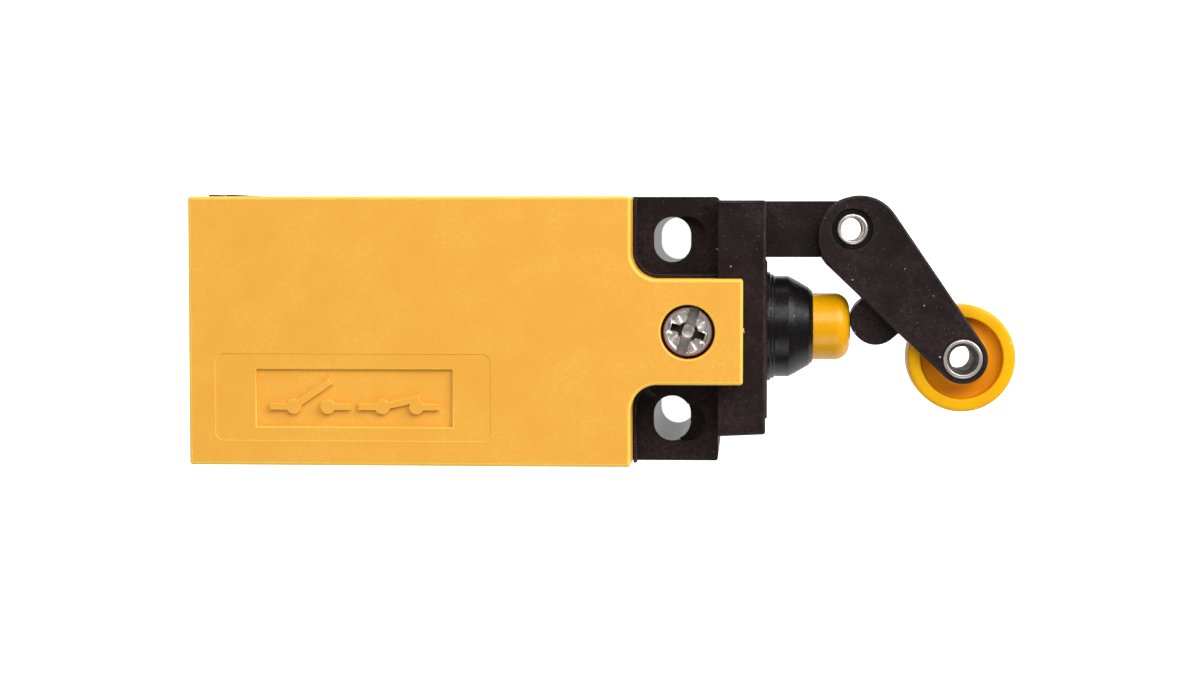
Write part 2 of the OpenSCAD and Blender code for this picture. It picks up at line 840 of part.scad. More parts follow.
// A fixed contact: the tab that carries the tip, and the strip to the terminal
module fixed_contact(tab_x, terminal_x) {
    low_x = min(terminal_x - 3.3, tab_x);
    color(brass) difference() {
        union() {
            box(
                [tab_x, strip_y0, axis_z - bridge_h / 2 + touch_gap],
                [tab_x + strip_t, strip_y0 + 2 * tip_r + 2 * seat_gap, block_top + strip_t]
            );
            box(
                [low_x, strip_y0, block_top + eps],
                [tab_x + strip_t, strip_y1, block_top + strip_t]
            );
        }
        translate([terminal_x, terminal_y, block_top - 1])
            cylinder(r = terminal_r + seat_gap, h = strip_t + 2);
    }
}

module nc_fixed_contact_left() {
    fixed_contact(nc_tab_x, nc_terminal_x);
}

module nc_fixed_contact_right() {
    mirror([0, 1, 0]) fixed_contact(nc_tab_x, nc_terminal_x);
}

module no_fixed_contact_left() {
    fixed_contact(no_tab_x, no_terminal_x);
}

module no_fixed_contact_right() {
    mirror([0, 1, 0]) fixed_contact(no_tab_x, no_terminal_x);
}

module terminal_clamps() {
    color(nickel) for (p = terminals)
        translate([p[0], p[1], clamp_z]) difference() {
            box([-3.2, -2.7, 0], [3.2, 2.7, clamp_t]);
            translate([0, 0, -1]) cylinder(r = terminal_r + seat_gap, h = clamp_t + 2);
        }
}

module terminal_screws() {
    head_z = clamp_z + clamp_t + touch_gap;
    color(nickel) for (p = terminals)
        translate([p[0], p[1], 0]) difference() {
            union() {
                translate([0, 0, block_top - 5.5])
                    cylinder(r = terminal_r, h = head_z - block_top + 5.5 + eps);
                translate([0, 0, head_z]) cylinder(r = 2.4, h = 2);
            }
            for (a = [45, 135])
                rotate([0, 0, a]) box([-1.7, -0.35, head_z + 0.9], [1.7, 0.35, head_z + 3]);
        }
}

base_housing();
front_cover();
cover_gasket();
cover_screw();
cover_screw_retainer();
threaded_insert();
head_body();
head_seal();
rubber_boot();
plunger();
plunger_spring();
roller_lever();
pivot_rivet();
roller();
roller_rivet();
contact_block();
contact_block_lid();
block_screws();
contact_carrier();
nc_contact_bridge();
no_contact_bridge();
bridge_contact_tips();
nc_contact_spring();
no_contact_spring();
carrier_return_spring();
nc_fixed_contact_left();
nc_fixed_contact_right();
no_fixed_contact_left();
no_fixed_contact_right();
fixed_contact_tips();
terminal_clamps();
terminal_screws();
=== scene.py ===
# %% [markdown]
# # A roller-lever limit switch
# This lesson dresses a finished engineering model of a limit switch: the small switch that tells a
# machine that a door or a slide has reached its end. The engineering model already has every part in
# its true place, so nothing is placed by eye here. Each visible piece is made again with the soft
# edges, threads and surface that the real one has, and it takes its place from the model.

# %% Load the engineering model
import json
import math

import bmesh
import bpy
from mathutils import Matrix, Vector


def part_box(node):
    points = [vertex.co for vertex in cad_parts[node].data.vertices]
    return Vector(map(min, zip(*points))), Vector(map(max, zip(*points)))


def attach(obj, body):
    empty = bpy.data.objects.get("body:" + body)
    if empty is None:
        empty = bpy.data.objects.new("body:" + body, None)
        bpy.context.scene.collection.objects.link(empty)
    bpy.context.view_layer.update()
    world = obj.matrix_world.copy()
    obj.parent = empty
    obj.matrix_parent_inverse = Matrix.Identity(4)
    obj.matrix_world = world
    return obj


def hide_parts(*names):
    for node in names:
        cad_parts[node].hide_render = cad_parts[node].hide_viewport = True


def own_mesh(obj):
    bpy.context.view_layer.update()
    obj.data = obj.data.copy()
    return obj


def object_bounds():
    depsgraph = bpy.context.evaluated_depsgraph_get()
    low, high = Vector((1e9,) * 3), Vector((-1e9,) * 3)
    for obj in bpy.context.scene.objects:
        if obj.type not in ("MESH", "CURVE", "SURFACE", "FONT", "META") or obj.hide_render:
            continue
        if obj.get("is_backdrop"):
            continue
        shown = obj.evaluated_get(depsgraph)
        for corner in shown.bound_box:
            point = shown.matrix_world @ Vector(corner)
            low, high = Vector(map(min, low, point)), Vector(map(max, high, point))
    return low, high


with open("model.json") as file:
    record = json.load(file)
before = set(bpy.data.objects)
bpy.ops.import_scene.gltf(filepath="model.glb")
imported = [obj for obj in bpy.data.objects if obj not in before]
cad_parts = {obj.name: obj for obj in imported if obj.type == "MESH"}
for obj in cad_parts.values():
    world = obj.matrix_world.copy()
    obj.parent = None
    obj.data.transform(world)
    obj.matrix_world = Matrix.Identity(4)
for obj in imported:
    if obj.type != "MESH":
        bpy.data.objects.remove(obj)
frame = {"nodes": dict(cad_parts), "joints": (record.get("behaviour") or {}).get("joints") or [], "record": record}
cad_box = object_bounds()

# %% [markdown]
# ## Measuring the model
# Blender works in metres, and a switch is drawn in millimetres, so a few helpers turn one into the
# other. `span` gives a part's box. `corners` gives its points, for sizes that a box can't tell, such
# as how wide the cover's tongue is. Sizes read this way stay right if the model is changed.

# %% Helpers that measure
MM = 0.001


def span(node):
    """Lowest and highest corner of a part, in millimetres."""
    low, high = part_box(node)
    return low / MM, high / MM


def corners(node):
    """The points of a part's mesh, in millimetres."""
    return [vertex.co / MM for vertex in frame["nodes"][node].data.vertices]


def near(a, b, slack=0.02):
    return abs(a - b) < slack


def both(a, b, test):
    """True when both ends of an edge pass a test."""
    return test(a) and test(b)


joints = {joint["name"]: joint for joint in frame["joints"]}
pivot = Vector(joints["lever_swing"]["pos_m"]) / MM
roller_at = Vector(joints["roller_spin"]["pos_m"]) / MM
axis_z = pivot.z
print("lever pivot at", tuple(round(c, 2) for c in pivot), "mm")

# %% Main sizes, in millimetres
base_low, base_high = span("base_housing")
cover_low, cover_high = span("front_cover")
head_low, head_high = span("head_body")
screw_low, screw_high = span("cover_screw")
base_x0, head_x = base_low.x, base_high.x
side_y, base_h, top_z = cover_high.y, cover_low.z, cover_high.z
screw_at = (screw_low + screw_high) / 2
tongue_y = max(p.y for p in corners("front_cover") if p.x > head_x + 1)
cover_x1 = max(p.x for p in corners("front_cover") if near(p.y, side_y))
plate_x = max(p.x for p in corners("head_body") if near(p.z, head_high.z))
recess_r = min(
    math.hypot(p.x - screw_at.x, p.y)
    for p in corners("front_cover")
    if near(p.z, top_z) and abs(p.x - screw_at.x) < 5
)
panel = [p for p in corners("front_cover") if top_z - 1 < p.z < top_z - 0.1 and p.x < cover_x1]
panel_low = Vector((min(p.x for p in panel), min(p.y for p in panel), min(p.z for p in panel)))
panel_high = Vector((max(p.x for p in panel), max(p.y for p in panel), top_z))
print("housing", round(head_x - base_x0, 2), "long,", round(2 * side_y, 2), "wide,", round(top_z, 2), "high")
print("tongue half width", round(tongue_y, 2), "| screw recess", round(recess_r, 2))
print("panel", [round(c, 2) for c in panel_low], [round(c, 2) for c in panel_high])

# %% [markdown]
# ## Camera
# A catalogue picture of a switch like this one is taken from straight above with a long lens. A lens
# that looks from a little to one side shows a sliver of the walls and of the holes' insides, which
# tells the eye how deep they are.

# %% Camera above the cover
camera = bpy.data.objects.new("camera", bpy.data.cameras.new("camera"))
bpy.context.scene.collection.objects.link(camera)
camera.location = Vector((8.7, 12.5, 301)) * MM
camera.rotation_euler = (math.radians(-2.84), math.radians(3.57), 0)
camera.data.lens = 70.5
camera.data.sensor_width = 36
camera.data.clip_start = 0.01
camera.data.clip_end = 20
bpy.context.scene.camera = camera
print("camera", round(camera.location.z / MM), "mm above the table,", camera.data.lens, "mm lens")

# %% [markdown]
# ## Small helpers for node trees
# Materials and Geometry Nodes are both trees of nodes. Writing each node in one call keeps the trees
# short: plain settings are keywords, and sockets are a dictionary whose values are either numbers or
# another node's output, which is then linked.

# %% One call for a node
def node(tree, kind, sockets=None, **settings):
    made = tree.nodes.new(kind)
    for name, value in settings.items():
        setattr(made, name, value)
    for key, value in (sockets or {}).items():
        if isinstance(value, bpy.types.NodeSocket):
            tree.links.new(value, made.inputs[key])
        else:
            made.inputs[key].default_value = value
    return made


def calc(tree, operation, a, b=0.0, c=0.0, clamp=False):
    """One step of arithmetic. Gives the output socket."""
    made = node(tree, "ShaderNodeMath", {0: a, 1: b, 2: c}, operation=operation, use_clamp=clamp)
    return made.outputs[0]


def mix_colour(tree, share, first, second):
    """Mixes two colours by a share. Gives the output socket."""
    made = node(tree, "ShaderNodeMix", {0: share, 6: first, 7: second}, data_type="RGBA")
    return made.outputs[2]


def fade(tree, value, low, high):
    """0 below low, 1 above high, smooth between."""
    sockets = {"Value": value, "From Min": low, "From Max": high}
    made = node(tree, "ShaderNodeMapRange", sockets, interpolation_type="SMOOTHSTEP")
    return made.outputs[0]


def new_tree(name, kind, inputs, outputs):
    """An empty group with its named inputs and outputs."""
    tree = bpy.data.node_groups.new(name, kind)
    for label, socket_type, value in inputs:
        socket = tree.interface.new_socket(label, in_out="INPUT", socket_type=socket_type)
        if value is not None:
            socket.default_value = value
    for label, socket_type in outputs:
        tree.interface.new_socket(label, in_out="OUTPUT", socket_type=socket_type)
    return tree, tree.nodes.new("NodeGroupInput").outputs, tree.nodes.new("NodeGroupOutput").inputs


print("node helpers ready")

# %% [markdown]
# ## Surface effects that several finishes share
# Moulded plastic is never one flat colour. The mould's etched skin gives a fine grain, the colour is a
# little cloudy, dust sticks to it, handling leaves faint scratches, and rounded edges are rubbed
# brighter; the same brighter edge also stands in for light caught by the rounding, a painted highlight.
# Each effect is a node group, so that every plastic and metal can use it with its own sizes.
# All sizes are in metres, because the patterns are measured on the object itself.

# %% Effect: fine grain of an etched mould
def build_grain():
    tree, given, result = new_tree(
        "mould_grain",
        "ShaderNodeTree",
        [("Vector", "NodeSocketVector", None), ("Size", "NodeSocketFloat", 0.0002)],
        [("Height", "NodeSocketFloat")],
    )
    scale = calc(tree, "DIVIDE", 1.0, given["Size"])
    fine = node(
        tree,
        "ShaderNodeTexNoise",
        {"Vector": given["Vector"], "Scale": scale, "Detail": 3.0, "Roughness": 0.6},
    )
    broad_scale = calc(tree, "MULTIPLY", scale, 0.16)
    broad = node(tree, "ShaderNodeTexNoise", {"Vector": given["Vector"], "Scale": broad_scale, "Detail": 2.0})
    ripple = calc(tree, "MULTIPLY", broad.outputs[0], 0.8)
    tree.links.new(calc(tree, "ADD", fine.outputs[0], ripple), result["Height"])
    return tree


grain_group = build_grain()
print("effect:", grain_group.name)

# %% Effect: cloudy colour
def build_clouds():
    tree, given, result = new_tree(
        "cloudy_colour",
        "ShaderNodeTree",
        [("Vector", "NodeSocketVector", None), ("Size", "NodeSocketFloat", 0.004)],
        [("Mask", "NodeSocketFloat"), ("Fine mask", "NodeSocketFloat")],
    )
    scale = calc(tree, "DIVIDE", 1.0, given["Size"])
    cloud = node(
        tree,
        "ShaderNodeTexNoise",
        {"Vector": given["Vector"], "Scale": scale, "Detail": 5.0, "Roughness": 0.62},
    )
    tree.links.new(fade(tree, cloud.outputs[0], 0.34, 0.66), result["Mask"])
    fine_scale = calc(tree, "MULTIPLY", scale, 14.0)
    freckle = node(
        tree,
        "ShaderNodeTexNoise",
        {"Vector": given["Vector"], "Scale": fine_scale, "Detail": 2.0},
    )
    tree.links.new(fade(tree, freckle.outputs[0], 0.3, 0.7), result["Fine mask"])
    return tree


clouds_group = build_clouds()
print("effect:", clouds_group.name)

# %% Effect: dust specks
def build_dust():
    tree, given, result = new_tree(
        "dust_specks",
        "ShaderNodeTree",
        [
            ("Vector", "NodeSocketVector", None),
            ("Spacing", "NodeSocketFloat", 0.0015),
            ("Amount", "NodeSocketFloat", 0.3),
            ("Speck size", "NodeSocketFloat", 0.09),
        ],
        [("Mask", "NodeSocketFloat")],
    )
    scale = calc(tree, "DIVIDE", 1.0, given["Spacing"])
    cells = node(tree, "ShaderNodeTexVoronoi", {"Vector": given["Vector"], "Scale": scale, "Randomness": 1.0})
    chance = node(tree, "ShaderNodeSeparateColor", {0: cells.outputs["Color"]})
    chosen = calc(tree, "LESS_THAN", chance.outputs[0], given["Amount"])
    radius = calc(tree, "MULTIPLY", given["Speck size"], calc(tree, "ADD", chance.outputs[1], 0.4))
    inside = calc(tree, "LESS_THAN", cells.outputs["Distance"], radius)
    tree.links.new(calc(tree, "MULTIPLY", chosen, inside), result["Mask"])
    return tree


dust_group = build_dust()
print("effect:", dust_group.name)

# %% Effect: faint scratches from handling
def build_scratches():
    tree, given, result = new_tree(
        "handling_scratches",
        "ShaderNodeTree",
        [
            ("Vector", "NodeSocketVector", None),
            ("Length", "NodeSocketFloat", 0.004),
            ("Width", "NodeSocketFloat", 0.006),
        ],
        [("Mask", "NodeSocketFloat")],
    )
    scale = calc(tree, "DIVIDE", 1.0, given["Length"])
    lines = 0.0
    for turn, stretch in ((0.5, 9.0), (-1.1, 12.0)):
        turned_way = node(
            tree,
            "ShaderNodeMapping",
            {"Vector": given["Vector"], "Rotation": (0.3, 0.2, turn), "Scale": (stretch, 1.0, 1.0)},
        )
        field = node(tree, "ShaderNodeTexNoise", {"Vector": turned_way.outputs[0], "Scale": scale})
        distance = calc(tree, "ABSOLUTE", calc(tree, "SUBTRACT", field.outputs[0], 0.5))
        line = calc(tree, "LESS_THAN", distance, given["Width"])
        lines = calc(tree, "MAXIMUM", lines, line)
    where = node(tree, "ShaderNodeTexNoise", {"Vector": given["Vector"], "Scale": scale, "Detail": 1.0})
    patch = fade(tree, where.outputs[0], 0.52, 0.64)
    tree.links.new(calc(tree, "MULTIPLY", lines, patch), result["Mask"])
    return tree


scratches_group = build_scratches()
print("effect:", scratches_group.name)

# %% [markdown]
# Edge wear and the painted edge highlight need to know where the edges are. The rounding tool further
# down marks each face that it makes with an attribute called `rounded`, and this group reads it and
# breaks it up a little. With an evenness of 1 the whole edge is bright, as a painted highlight band.

# %% Effect: rubbed edges and a painted edge highlight
def build_edges():
    tree, given, result = new_tree(
        "rubbed_edges",
        "ShaderNodeTree",
        [
            ("Vector", "NodeSocketVector", None),
            ("Size", "NodeSocketFloat", 0.0015),
            ("Evenness", "NodeSocketFloat", 0.0),
        ],
        [("Mask", "NodeSocketFloat")],
    )
    marked = node(tree, "ShaderNodeAttribute", attribute_name="rounded")
    scale = calc(tree, "DIVIDE", 1.0, given["Size"])
    rub = node(tree, "ShaderNodeTexNoise", {"Vector": given["Vector"], "Scale": scale, "Detail": 4.0})
    # The noise patches stand for wear; the evenness spreads the brightness along the whole edge as a painted
    # highlight.
    wear_and_sheen = calc(tree, "MAXIMUM", fade(tree, rub.outputs[0], 0.3, 0.62), given["Evenness"])
    tree.links.new(calc(tree, "MULTIPLY", marked.outputs["Fac"], wear_and_sheen), result["Mask"])
    return tree


edges_group = build_edges()
print("effect:", edges_group.name)

# %% [markdown]
# ## The finishes
# Two recipes make all the finishes. A plastic or rubber is a cloudy colour with grain in its bump,
# a little dust, faint scratches, and rubbed edges that also carry a painted highlight. A metal is
# shiny with fine machining lines and a dull film in places. Faces marked `polished` are smoother,
# and faces marked `shaded` take a painted shade, the dark colour that a deep gap shows. What is the
# same all over, such as how strongly a rubber reflects, is set straight on the shader, so that it
# survives an export.

# %% Recipe for a plastic or a rubber
finishes = {}


def effect(tree, group, coordinates, **sizes):
    """Places an effect group in a material, with this material's own sizes."""
    placed = node(tree, "ShaderNodeGroup", node_tree=group)
    tree.links.new(coordinates, placed.inputs["Vector"])
    for name, value in sizes.items():
        placed.inputs[name.replace("_", " ")].default_value = value
    return placed.outputs


def start_material(name):
    material = bpy.data.materials.new(name)
    material.use_nodes = True
    tree = material.node_tree
    tree.nodes.clear()
    coordinates = tree.nodes.new("ShaderNodeTexCoord").outputs["Object"]
    shader = tree.nodes.new("ShaderNodeBsdfPrincipled")
    output = tree.nodes.new("ShaderNodeOutputMaterial")
    tree.links.new(shader.outputs[0], output.inputs["Surface"])
    finishes[name] = material
    return tree, coordinates, shader.inputs


def marked(tree, name):
    """How strongly a face is marked as polished or as shaded, from its attribute."""
    return node(tree, "ShaderNodeAttribute", attribute_name=name).outputs["Fac"]


def plastic(
    name, deep, bright, edge, shade, rough, grain, bump, dust, scratch,
    specular=0.5, dust_colour=0.6, mottle=0.35, even=0.0,
):
    """deep and bright are the cloud colours; edge is for worn edges, scratches and a painted edge highlight; shade
    is painted shade for gaps.
    """
    tree, where, shader = start_material(name)
    cloud = effect(tree, clouds_group, where, Size=0.006)
    colour = mix_colour(tree, cloud["Mask"], (*deep, 1), (*bright, 1))
    freckle = calc(tree, "MULTIPLY", cloud["Fine mask"], mottle)
    colour = mix_colour(tree, freckle, colour, (*deep, 1))
    # Rounded edges take the edge colour: partly wear, partly a painted highlight where the rounding catches the
    # light.
    edge_wear_and_sheen = effect(tree, edges_group, where, Size=0.002, Evenness=even)["Mask"]
    colour = mix_colour(tree, calc(tree, "MULTIPLY", edge_wear_and_sheen, 0.85), colour, (*edge, 1))
    scratches = effect(tree, scratches_group, where, Length=0.006, Width=0.004)["Mask"]
    colour = mix_colour(tree, calc(tree, "MULTIPLY", scratches, scratch), colour, (*edge, 1))
    specks = effect(tree, dust_group, where, Spacing=0.0016, Amount=dust, Speck_size=0.06)["Mask"]
    powder = effect(tree, dust_group, where, Spacing=0.0005, Amount=dust, Speck_size=0.12)["Mask"]
    specks = calc(tree, "MAXIMUM", calc(tree, "MULTIPLY", powder, 0.09), calc(tree, "MULTIPLY", specks, 0.6))
    colour = mix_colour(tree, specks, colour, (dust_colour,) * 3 + (1,))
    # Faces marked shaded take the shade colour: a painted shade.
    colour = mix_colour(tree, marked(tree, "shaded"), colour, (*shade, 1))
    tree.links.new(colour, shader["Base Color"])
    dull = calc(tree, "MULTIPLY_ADD", cloud["Fine mask"], 0.12, rough - 0.06)
    dull = calc(tree, "MULTIPLY_ADD", specks, 0.3, dull, clamp=True)
    grainy = calc(tree, "SUBTRACT", 1.0, calc(tree, "MULTIPLY", marked(tree, "polished"), 0.82))
    tree.links.new(calc(tree, "MULTIPLY", dull, grainy), shader["Roughness"])
    height = effect(tree, grain_group, where, Size=grain)["Height"]
    height = calc(tree, "SUBTRACT", height, calc(tree, "MULTIPLY", scratches, 0.5))
    strength = calc(tree, "MULTIPLY", grainy, bump)
    bumps = node(tree, "ShaderNodeBump", {"Height": height, "Strength": strength, "Distance": 0.0001})
    tree.links.new(bumps.outputs[0], shader["Normal"])
    shader["Specular IOR Level"].default_value = specular


# %% Plastics and rubbers
# The cover's edge colour, almost even along its rounded edges, is a painted highlight band with a little wear; its
# shade colour is painted shade in the screw's recess.
plastic(
    "cover_yellow",
    deep=(0.87, 0.412, 0.046),
    bright=(0.93, 0.462, 0.064),
    edge=(0.97, 0.66, 0.085),
    shade=(0.45, 0.08, 0.006),
    rough=0.46,
    grain=0.00022,
    bump=0.22,
    dust=0.05,
    scratch=0.10,
    specular=0.35,
    dust_colour=0.8,
    mottle=0.9,
    even=0.85,
)
plastic(
    "black_plastic",
    deep=(0.0080, 0.0030, 0.0030),
    bright=(0.0330, 0.0180, 0.0180),
    edge=(0.036, 0.024, 0.024),
    shade=(0.0010, 0.0008, 0.0008),
    rough=0.46,
    grain=0.0003,
    bump=0.35,
    dust=0.9,
    scratch=0.35,
    specular=0.2,
    mottle=0.85,
)
plastic(
    "boot_rubber",
    deep=(0.0045, 0.0035, 0.0037),
    bright=(0.0075, 0.0060, 0.0062),
    edge=(0.025, 0.023, 0.023),
    shade=(0.002, 0.002, 0.002),
    rough=0.29,
    grain=0.0006,
    bump=0.12,
    dust=0.3,
    scratch=0.1,
    specular=0.27,
)
plastic(
    "gasket_rubber",
    deep=(0.010, 0.010, 0.011),
    bright=(0.018, 0.018, 0.019),
    edge=(0.04, 0.04, 0.042),
    shade=(0.003, 0.003, 0.003),
    rough=0.66,
    grain=0.0002,
    bump=0.3,
    dust=0.12,
    scratch=0.0,
    specular=0.3,
)
plastic(
    "plunger_orange",
    deep=(0.88, 0.39, 0.0010),
    bright=(0.95, 0.47, 0.002),
    edge=(0.95, 0.52, 0.01),
    shade=(0.30, 0.07, 0.0005),
    rough=0.25,
    grain=0.0005,
    bump=0.06,
    dust=0.03,
    scratch=0.15,
    specular=0.35,
    dust_colour=0.8,
)
plastic(
    "roller_yellow",
    deep=(0.88, 0.41, 0.0004),
    bright=(0.95, 0.50, 0.0008),
    edge=(0.97, 0.58, 0.002),
    shade=(0.74, 0.235, 0.0005),
    rough=0.40,
    grain=0.0004,
    bump=0.12,
    dust=0.1,
    scratch=0.1,
    specular=0.2,
    dust_colour=0.8,
)
plastic(
    "carrier_orange",
    deep=(0.62, 0.16, 0.02),
    bright=(0.70, 0.20, 0.03),
    edge=(0.8, 0.3, 0.08),
    shade=(0.2, 0.05, 0.01),
    rough=0.42,
    grain=0.0003,
    bump=0.2,
    dust=0.03,
    scratch=0.1,
)
plastic(
    "block_ivory",
    deep=(0.60, 0.55, 0.44),
    bright=(0.68, 0.63, 0.52),
    edge=(0.8, 0.76, 0.66),
    shade=(0.2, 0.18, 0.14),
    rough=0.5,
    grain=0.0003,
    bump=0.25,
    dust=0.04,
    scratch=0.1,
    dust_colour=0.2,
)
print("plastics:", ", ".join(finishes))

# %% [markdown]
# Metals get their colour from reflection, so their surface matters more than their colour. Turned and
# stamped parts carry very fine lines, made here by stretching a noise, and a thin dull film.

# %% Recipe for a metal, and the metals
def metal(name, clean, dull, rough, film):
    tree, where, shader = start_material(name)
    cloud = effect(tree, clouds_group, where, Size=0.0018)
    film_mask = calc(tree, "MULTIPLY", cloud["Mask"], film)
    colour = mix_colour(tree, film_mask, (*clean, 1), (*dull, 1))
    scratches = effect(tree, scratches_group, where, Length=0.0016, Width=0.012)["Mask"]
    colour = mix_colour(tree, calc(tree, "MULTIPLY", scratches, 0.3), colour, (*clean, 1))
    # Faces marked shaded turn near black, a painted shade; they are rougher too.
    shaded = marked(tree, "shaded")
    colour = mix_colour(tree, shaded, colour, (0.045, 0.038, 0.036, 1))
    tree.links.new(colour, shader["Base Color"])
    uneven = calc(tree, "MULTIPLY_ADD", cloud["Fine mask"], 0.14, rough - 0.05)
    uneven = calc(tree, "MULTIPLY_ADD", film_mask, 0.2, uneven)
    uneven = calc(tree, "MULTIPLY_ADD", shaded, 0.3, uneven, clamp=True)
    tree.links.new(uneven, shader["Roughness"])
    stretched = node(tree, "ShaderNodeMapping", {"Vector": where, "Scale": (1.0, 1.0, 14.0)})
    height = effect(tree, grain_group, stretched.outputs[0], Size=0.0006)["Height"]
    bumps = node(tree, "ShaderNodeBump", {"Height": height, "Strength": 0.06, "Distance": 0.00005})
    tree.links.new(bumps.outputs[0], shader["Normal"])
    shader["Metallic"].default_value = 1.0


metal("nickel_steel", (0.76, 0.71, 0.67), (0.38, 0.33, 0.31), 0.32, 0.7)
metal("spring_steel", (0.58, 0.57, 0.56), (0.30, 0.28, 0.27), 0.28, 0.5)
metal("brass", (0.86, 0.62, 0.28), (0.55, 0.36, 0.15), 0.28, 0.5)
metal("contact_copper", (0.86, 0.47, 0.30), (0.50, 0.22, 0.12), 0.30, 0.6)
metal("contact_silver", (0.90, 0.89, 0.86), (0.62, 0.58, 0.52), 0.22, 0.4)
print("all finishes:", len(finishes))

# %% [markdown]
# ## Helpers that make meshes
# Four ways of making a shape cover this whole switch. A moulded part starts as a copy of the model's
# part, whose edges are then rounded in groups, widest first. A round part is a profile turned about
# an axis. A cut or a join is a boolean. What repeats or follows a helix comes from Geometry Nodes.

# %% From bmesh or plain points to an object
def as_object(name, mesh):
    piece = bpy.data.objects.new(name, mesh)
    bpy.context.scene.collection.objects.link(piece)
    return piece


def from_bmesh(name, shape):
    mesh = bpy.data.meshes.new(name)
    bmesh.ops.recalc_face_normals(shape, faces=shape.faces)
    shape.to_mesh(mesh)
    shape.free()
    return as_object(name, mesh)


def evaluated_mesh(piece):
    """What a piece looks like with its modifiers, as a plain mesh."""
    bpy.context.view_layer.update()
    graph = bpy.context.evaluated_depsgraph_get()
    return bpy.data.meshes.new_from_object(piece.evaluated_get(graph))


def bake_modifiers(piece):
    mesh = evaluated_mesh(piece)
    piece.modifiers.clear()
    piece.data = mesh
    return piece


def carve(piece, cutter, operation="DIFFERENCE"):
    """Cuts the cutter out of the piece, or joins it on, and throws the cutter away."""
    modifier = piece.modifiers.new("carve", "BOOLEAN")
    modifier.operation = operation
    modifier.solver = "EXACT"
    modifier.object = cutter
    bake_modifiers(piece)
    bpy.data.objects.remove(cutter)
    return piece


# %% Rounding edges in groups
SHARP = math.radians(24)


def copy_of(node_name, name):
    """A copy of a part of the model with its points merged and its flat faces joined."""
    shape = bmesh.new()
    shape.from_mesh(frame["nodes"][node_name].data)
    bmesh.ops.remove_doubles(shape, verts=shape.verts, dist=2e-6)
    tidy_faces(shape)
    return from_bmesh(name, shape)


def tidy_faces(shape):
    bmesh.ops.dissolve_limit(
        shape,
        angle_limit=math.radians(0.6),
        verts=shape.verts,
        edges=shape.edges,
        use_dissolve_boundaries=False,
    )
    bmesh.ops.dissolve_degenerate(shape, dist=2e-6, edges=shape.edges)


def round_edges(piece, groups):
    """Each group is (width in mm, steps, test). The test gets an edge's two ends in millimetres."""
    shape = bmesh.new()
    shape.from_mesh(piece.data)
    tidy_faces(shape)
    marks = shape.faces.layers.float.get("rounded") or shape.faces.layers.float.new("rounded")
    for width, steps, test in groups:
        chosen = []
        for edge in shape.edges:
            if len(edge.link_faces) == 2 and edge.calc_face_angle(0) > SHARP:
                a, b = (vertex.co / MM for vertex in edge.verts)
                if test(a, b):
                    chosen.append(edge)
        made = bmesh.ops.bevel(
            shape,
            geom=chosen,
            offset=width * MM,
            offset_type="OFFSET",
            segments=steps,
            profile=0.5,
            affect="EDGES",
            clamp_overlap=True,
        )
        for face in made["faces"]:
            face[marks] = 1.0
    bmesh.ops.remove_doubles(shape, verts=shape.verts, dist=1e-6)
    bmesh.ops.recalc_face_normals(shape, faces=shape.faces)
    shape.to_mesh(piece.data)
    shape.free()
    return piece


def smooth(piece, angle=32):
    """Smooth shading that keeps flat faces flat and real corners crisp."""
    mesh = piece.data
    mesh.polygons.foreach_set("use_smooth", [True] * len(mesh.polygons))
    mesh.set_sharp_from_angle(angle=math.radians(angle))
    modifier = piece.modifiers.new("flat faces first", "WEIGHTED_NORMAL")
    modifier.keep_sharp = True
    modifier.weight = 60
    return bake_modifiers(piece)


def mark(piece, name, share, test):
    """Marks faces as polished or shaded. The test gets a face's middle in millimetres and direction."""
    marks = piece.data.attributes.get(name) or piece.data.attributes.new(name, "FLOAT", "FACE")
    found = 0
    for face in piece.data.polygons:
        if test(face.center / MM, face.normal):
            marks.data[face.index].value = share
            found += 1
    print(piece.name, "has", found, name, "faces")


# %% Turning a profile about an axis
def soften(profile, closed=False, steps=4):
    """Rounds the corners of a profile. A corner is (radius, height) or (radius, height, rounding)."""
    line = []
    for i, corner in enumerate(profile):
        here = Vector(corner[:2])
        rounding = corner[2] if len(corner) == 3 else 0
        if not rounding or (not closed and i in (0, len(profile) - 1)):
            line.append(here)
            continue
        back = (Vector(profile[i - 1][:2]) - here).normalized()
        on = (Vector(profile[(i + 1) % len(profile)][:2]) - here).normalized()
        half = back.angle(on) / 2
        centre = here + (back + on).normalized() * rounding / math.sin(half)
        start = here + back * rounding / math.tan(half) - centre
        end = here + on * rounding / math.tan(half) - centre
        turn = start.angle_signed(end)
        for k in range(steps + 1):
            angle = -turn * k / steps
            line.append(centre + Matrix.Rotation(angle, 2) @ start)
    return line


def turned(name, profile, centre, along="z", closed=False, sides=72, steps=4, ripple=None):
    """A round piece. Its profile is turned about an axis through the centre; heights run along it."""
    line = soften(profile, closed, steps)
    shape = bmesh.new()
    rings = []
    for radius, height in line:
        count = 1 if radius < 1e-6 else sides
        ring = []
        for k in range(count):
            angle = 2 * math.pi * k / sides
            r = radius + (ripple(angle, radius) if ripple else 0)
            point = Vector((r * math.cos(angle), r * math.sin(angle), height))
            if along == "x":
                point = Vector((point.z, point.x, point.y))
            ring.append(shape.verts.new((Vector(centre) + point) * MM))
        rings.append(ring)
    pairs = list(zip(rings, rings[1:]))
    if closed:
        pairs.append((rings[-1], rings[0]))
    for lower, upper in pairs:
        for k in range(sides):
            j = (k + 1) % sides
            around = ((lower, k), (lower, j), (upper, j), (upper, k))
            unique = list(dict.fromkeys(points[m % len(points)] for points, m in around))
            if len(unique) > 2:
                shape.faces.new(unique)
    return from_bmesh(name, shape)


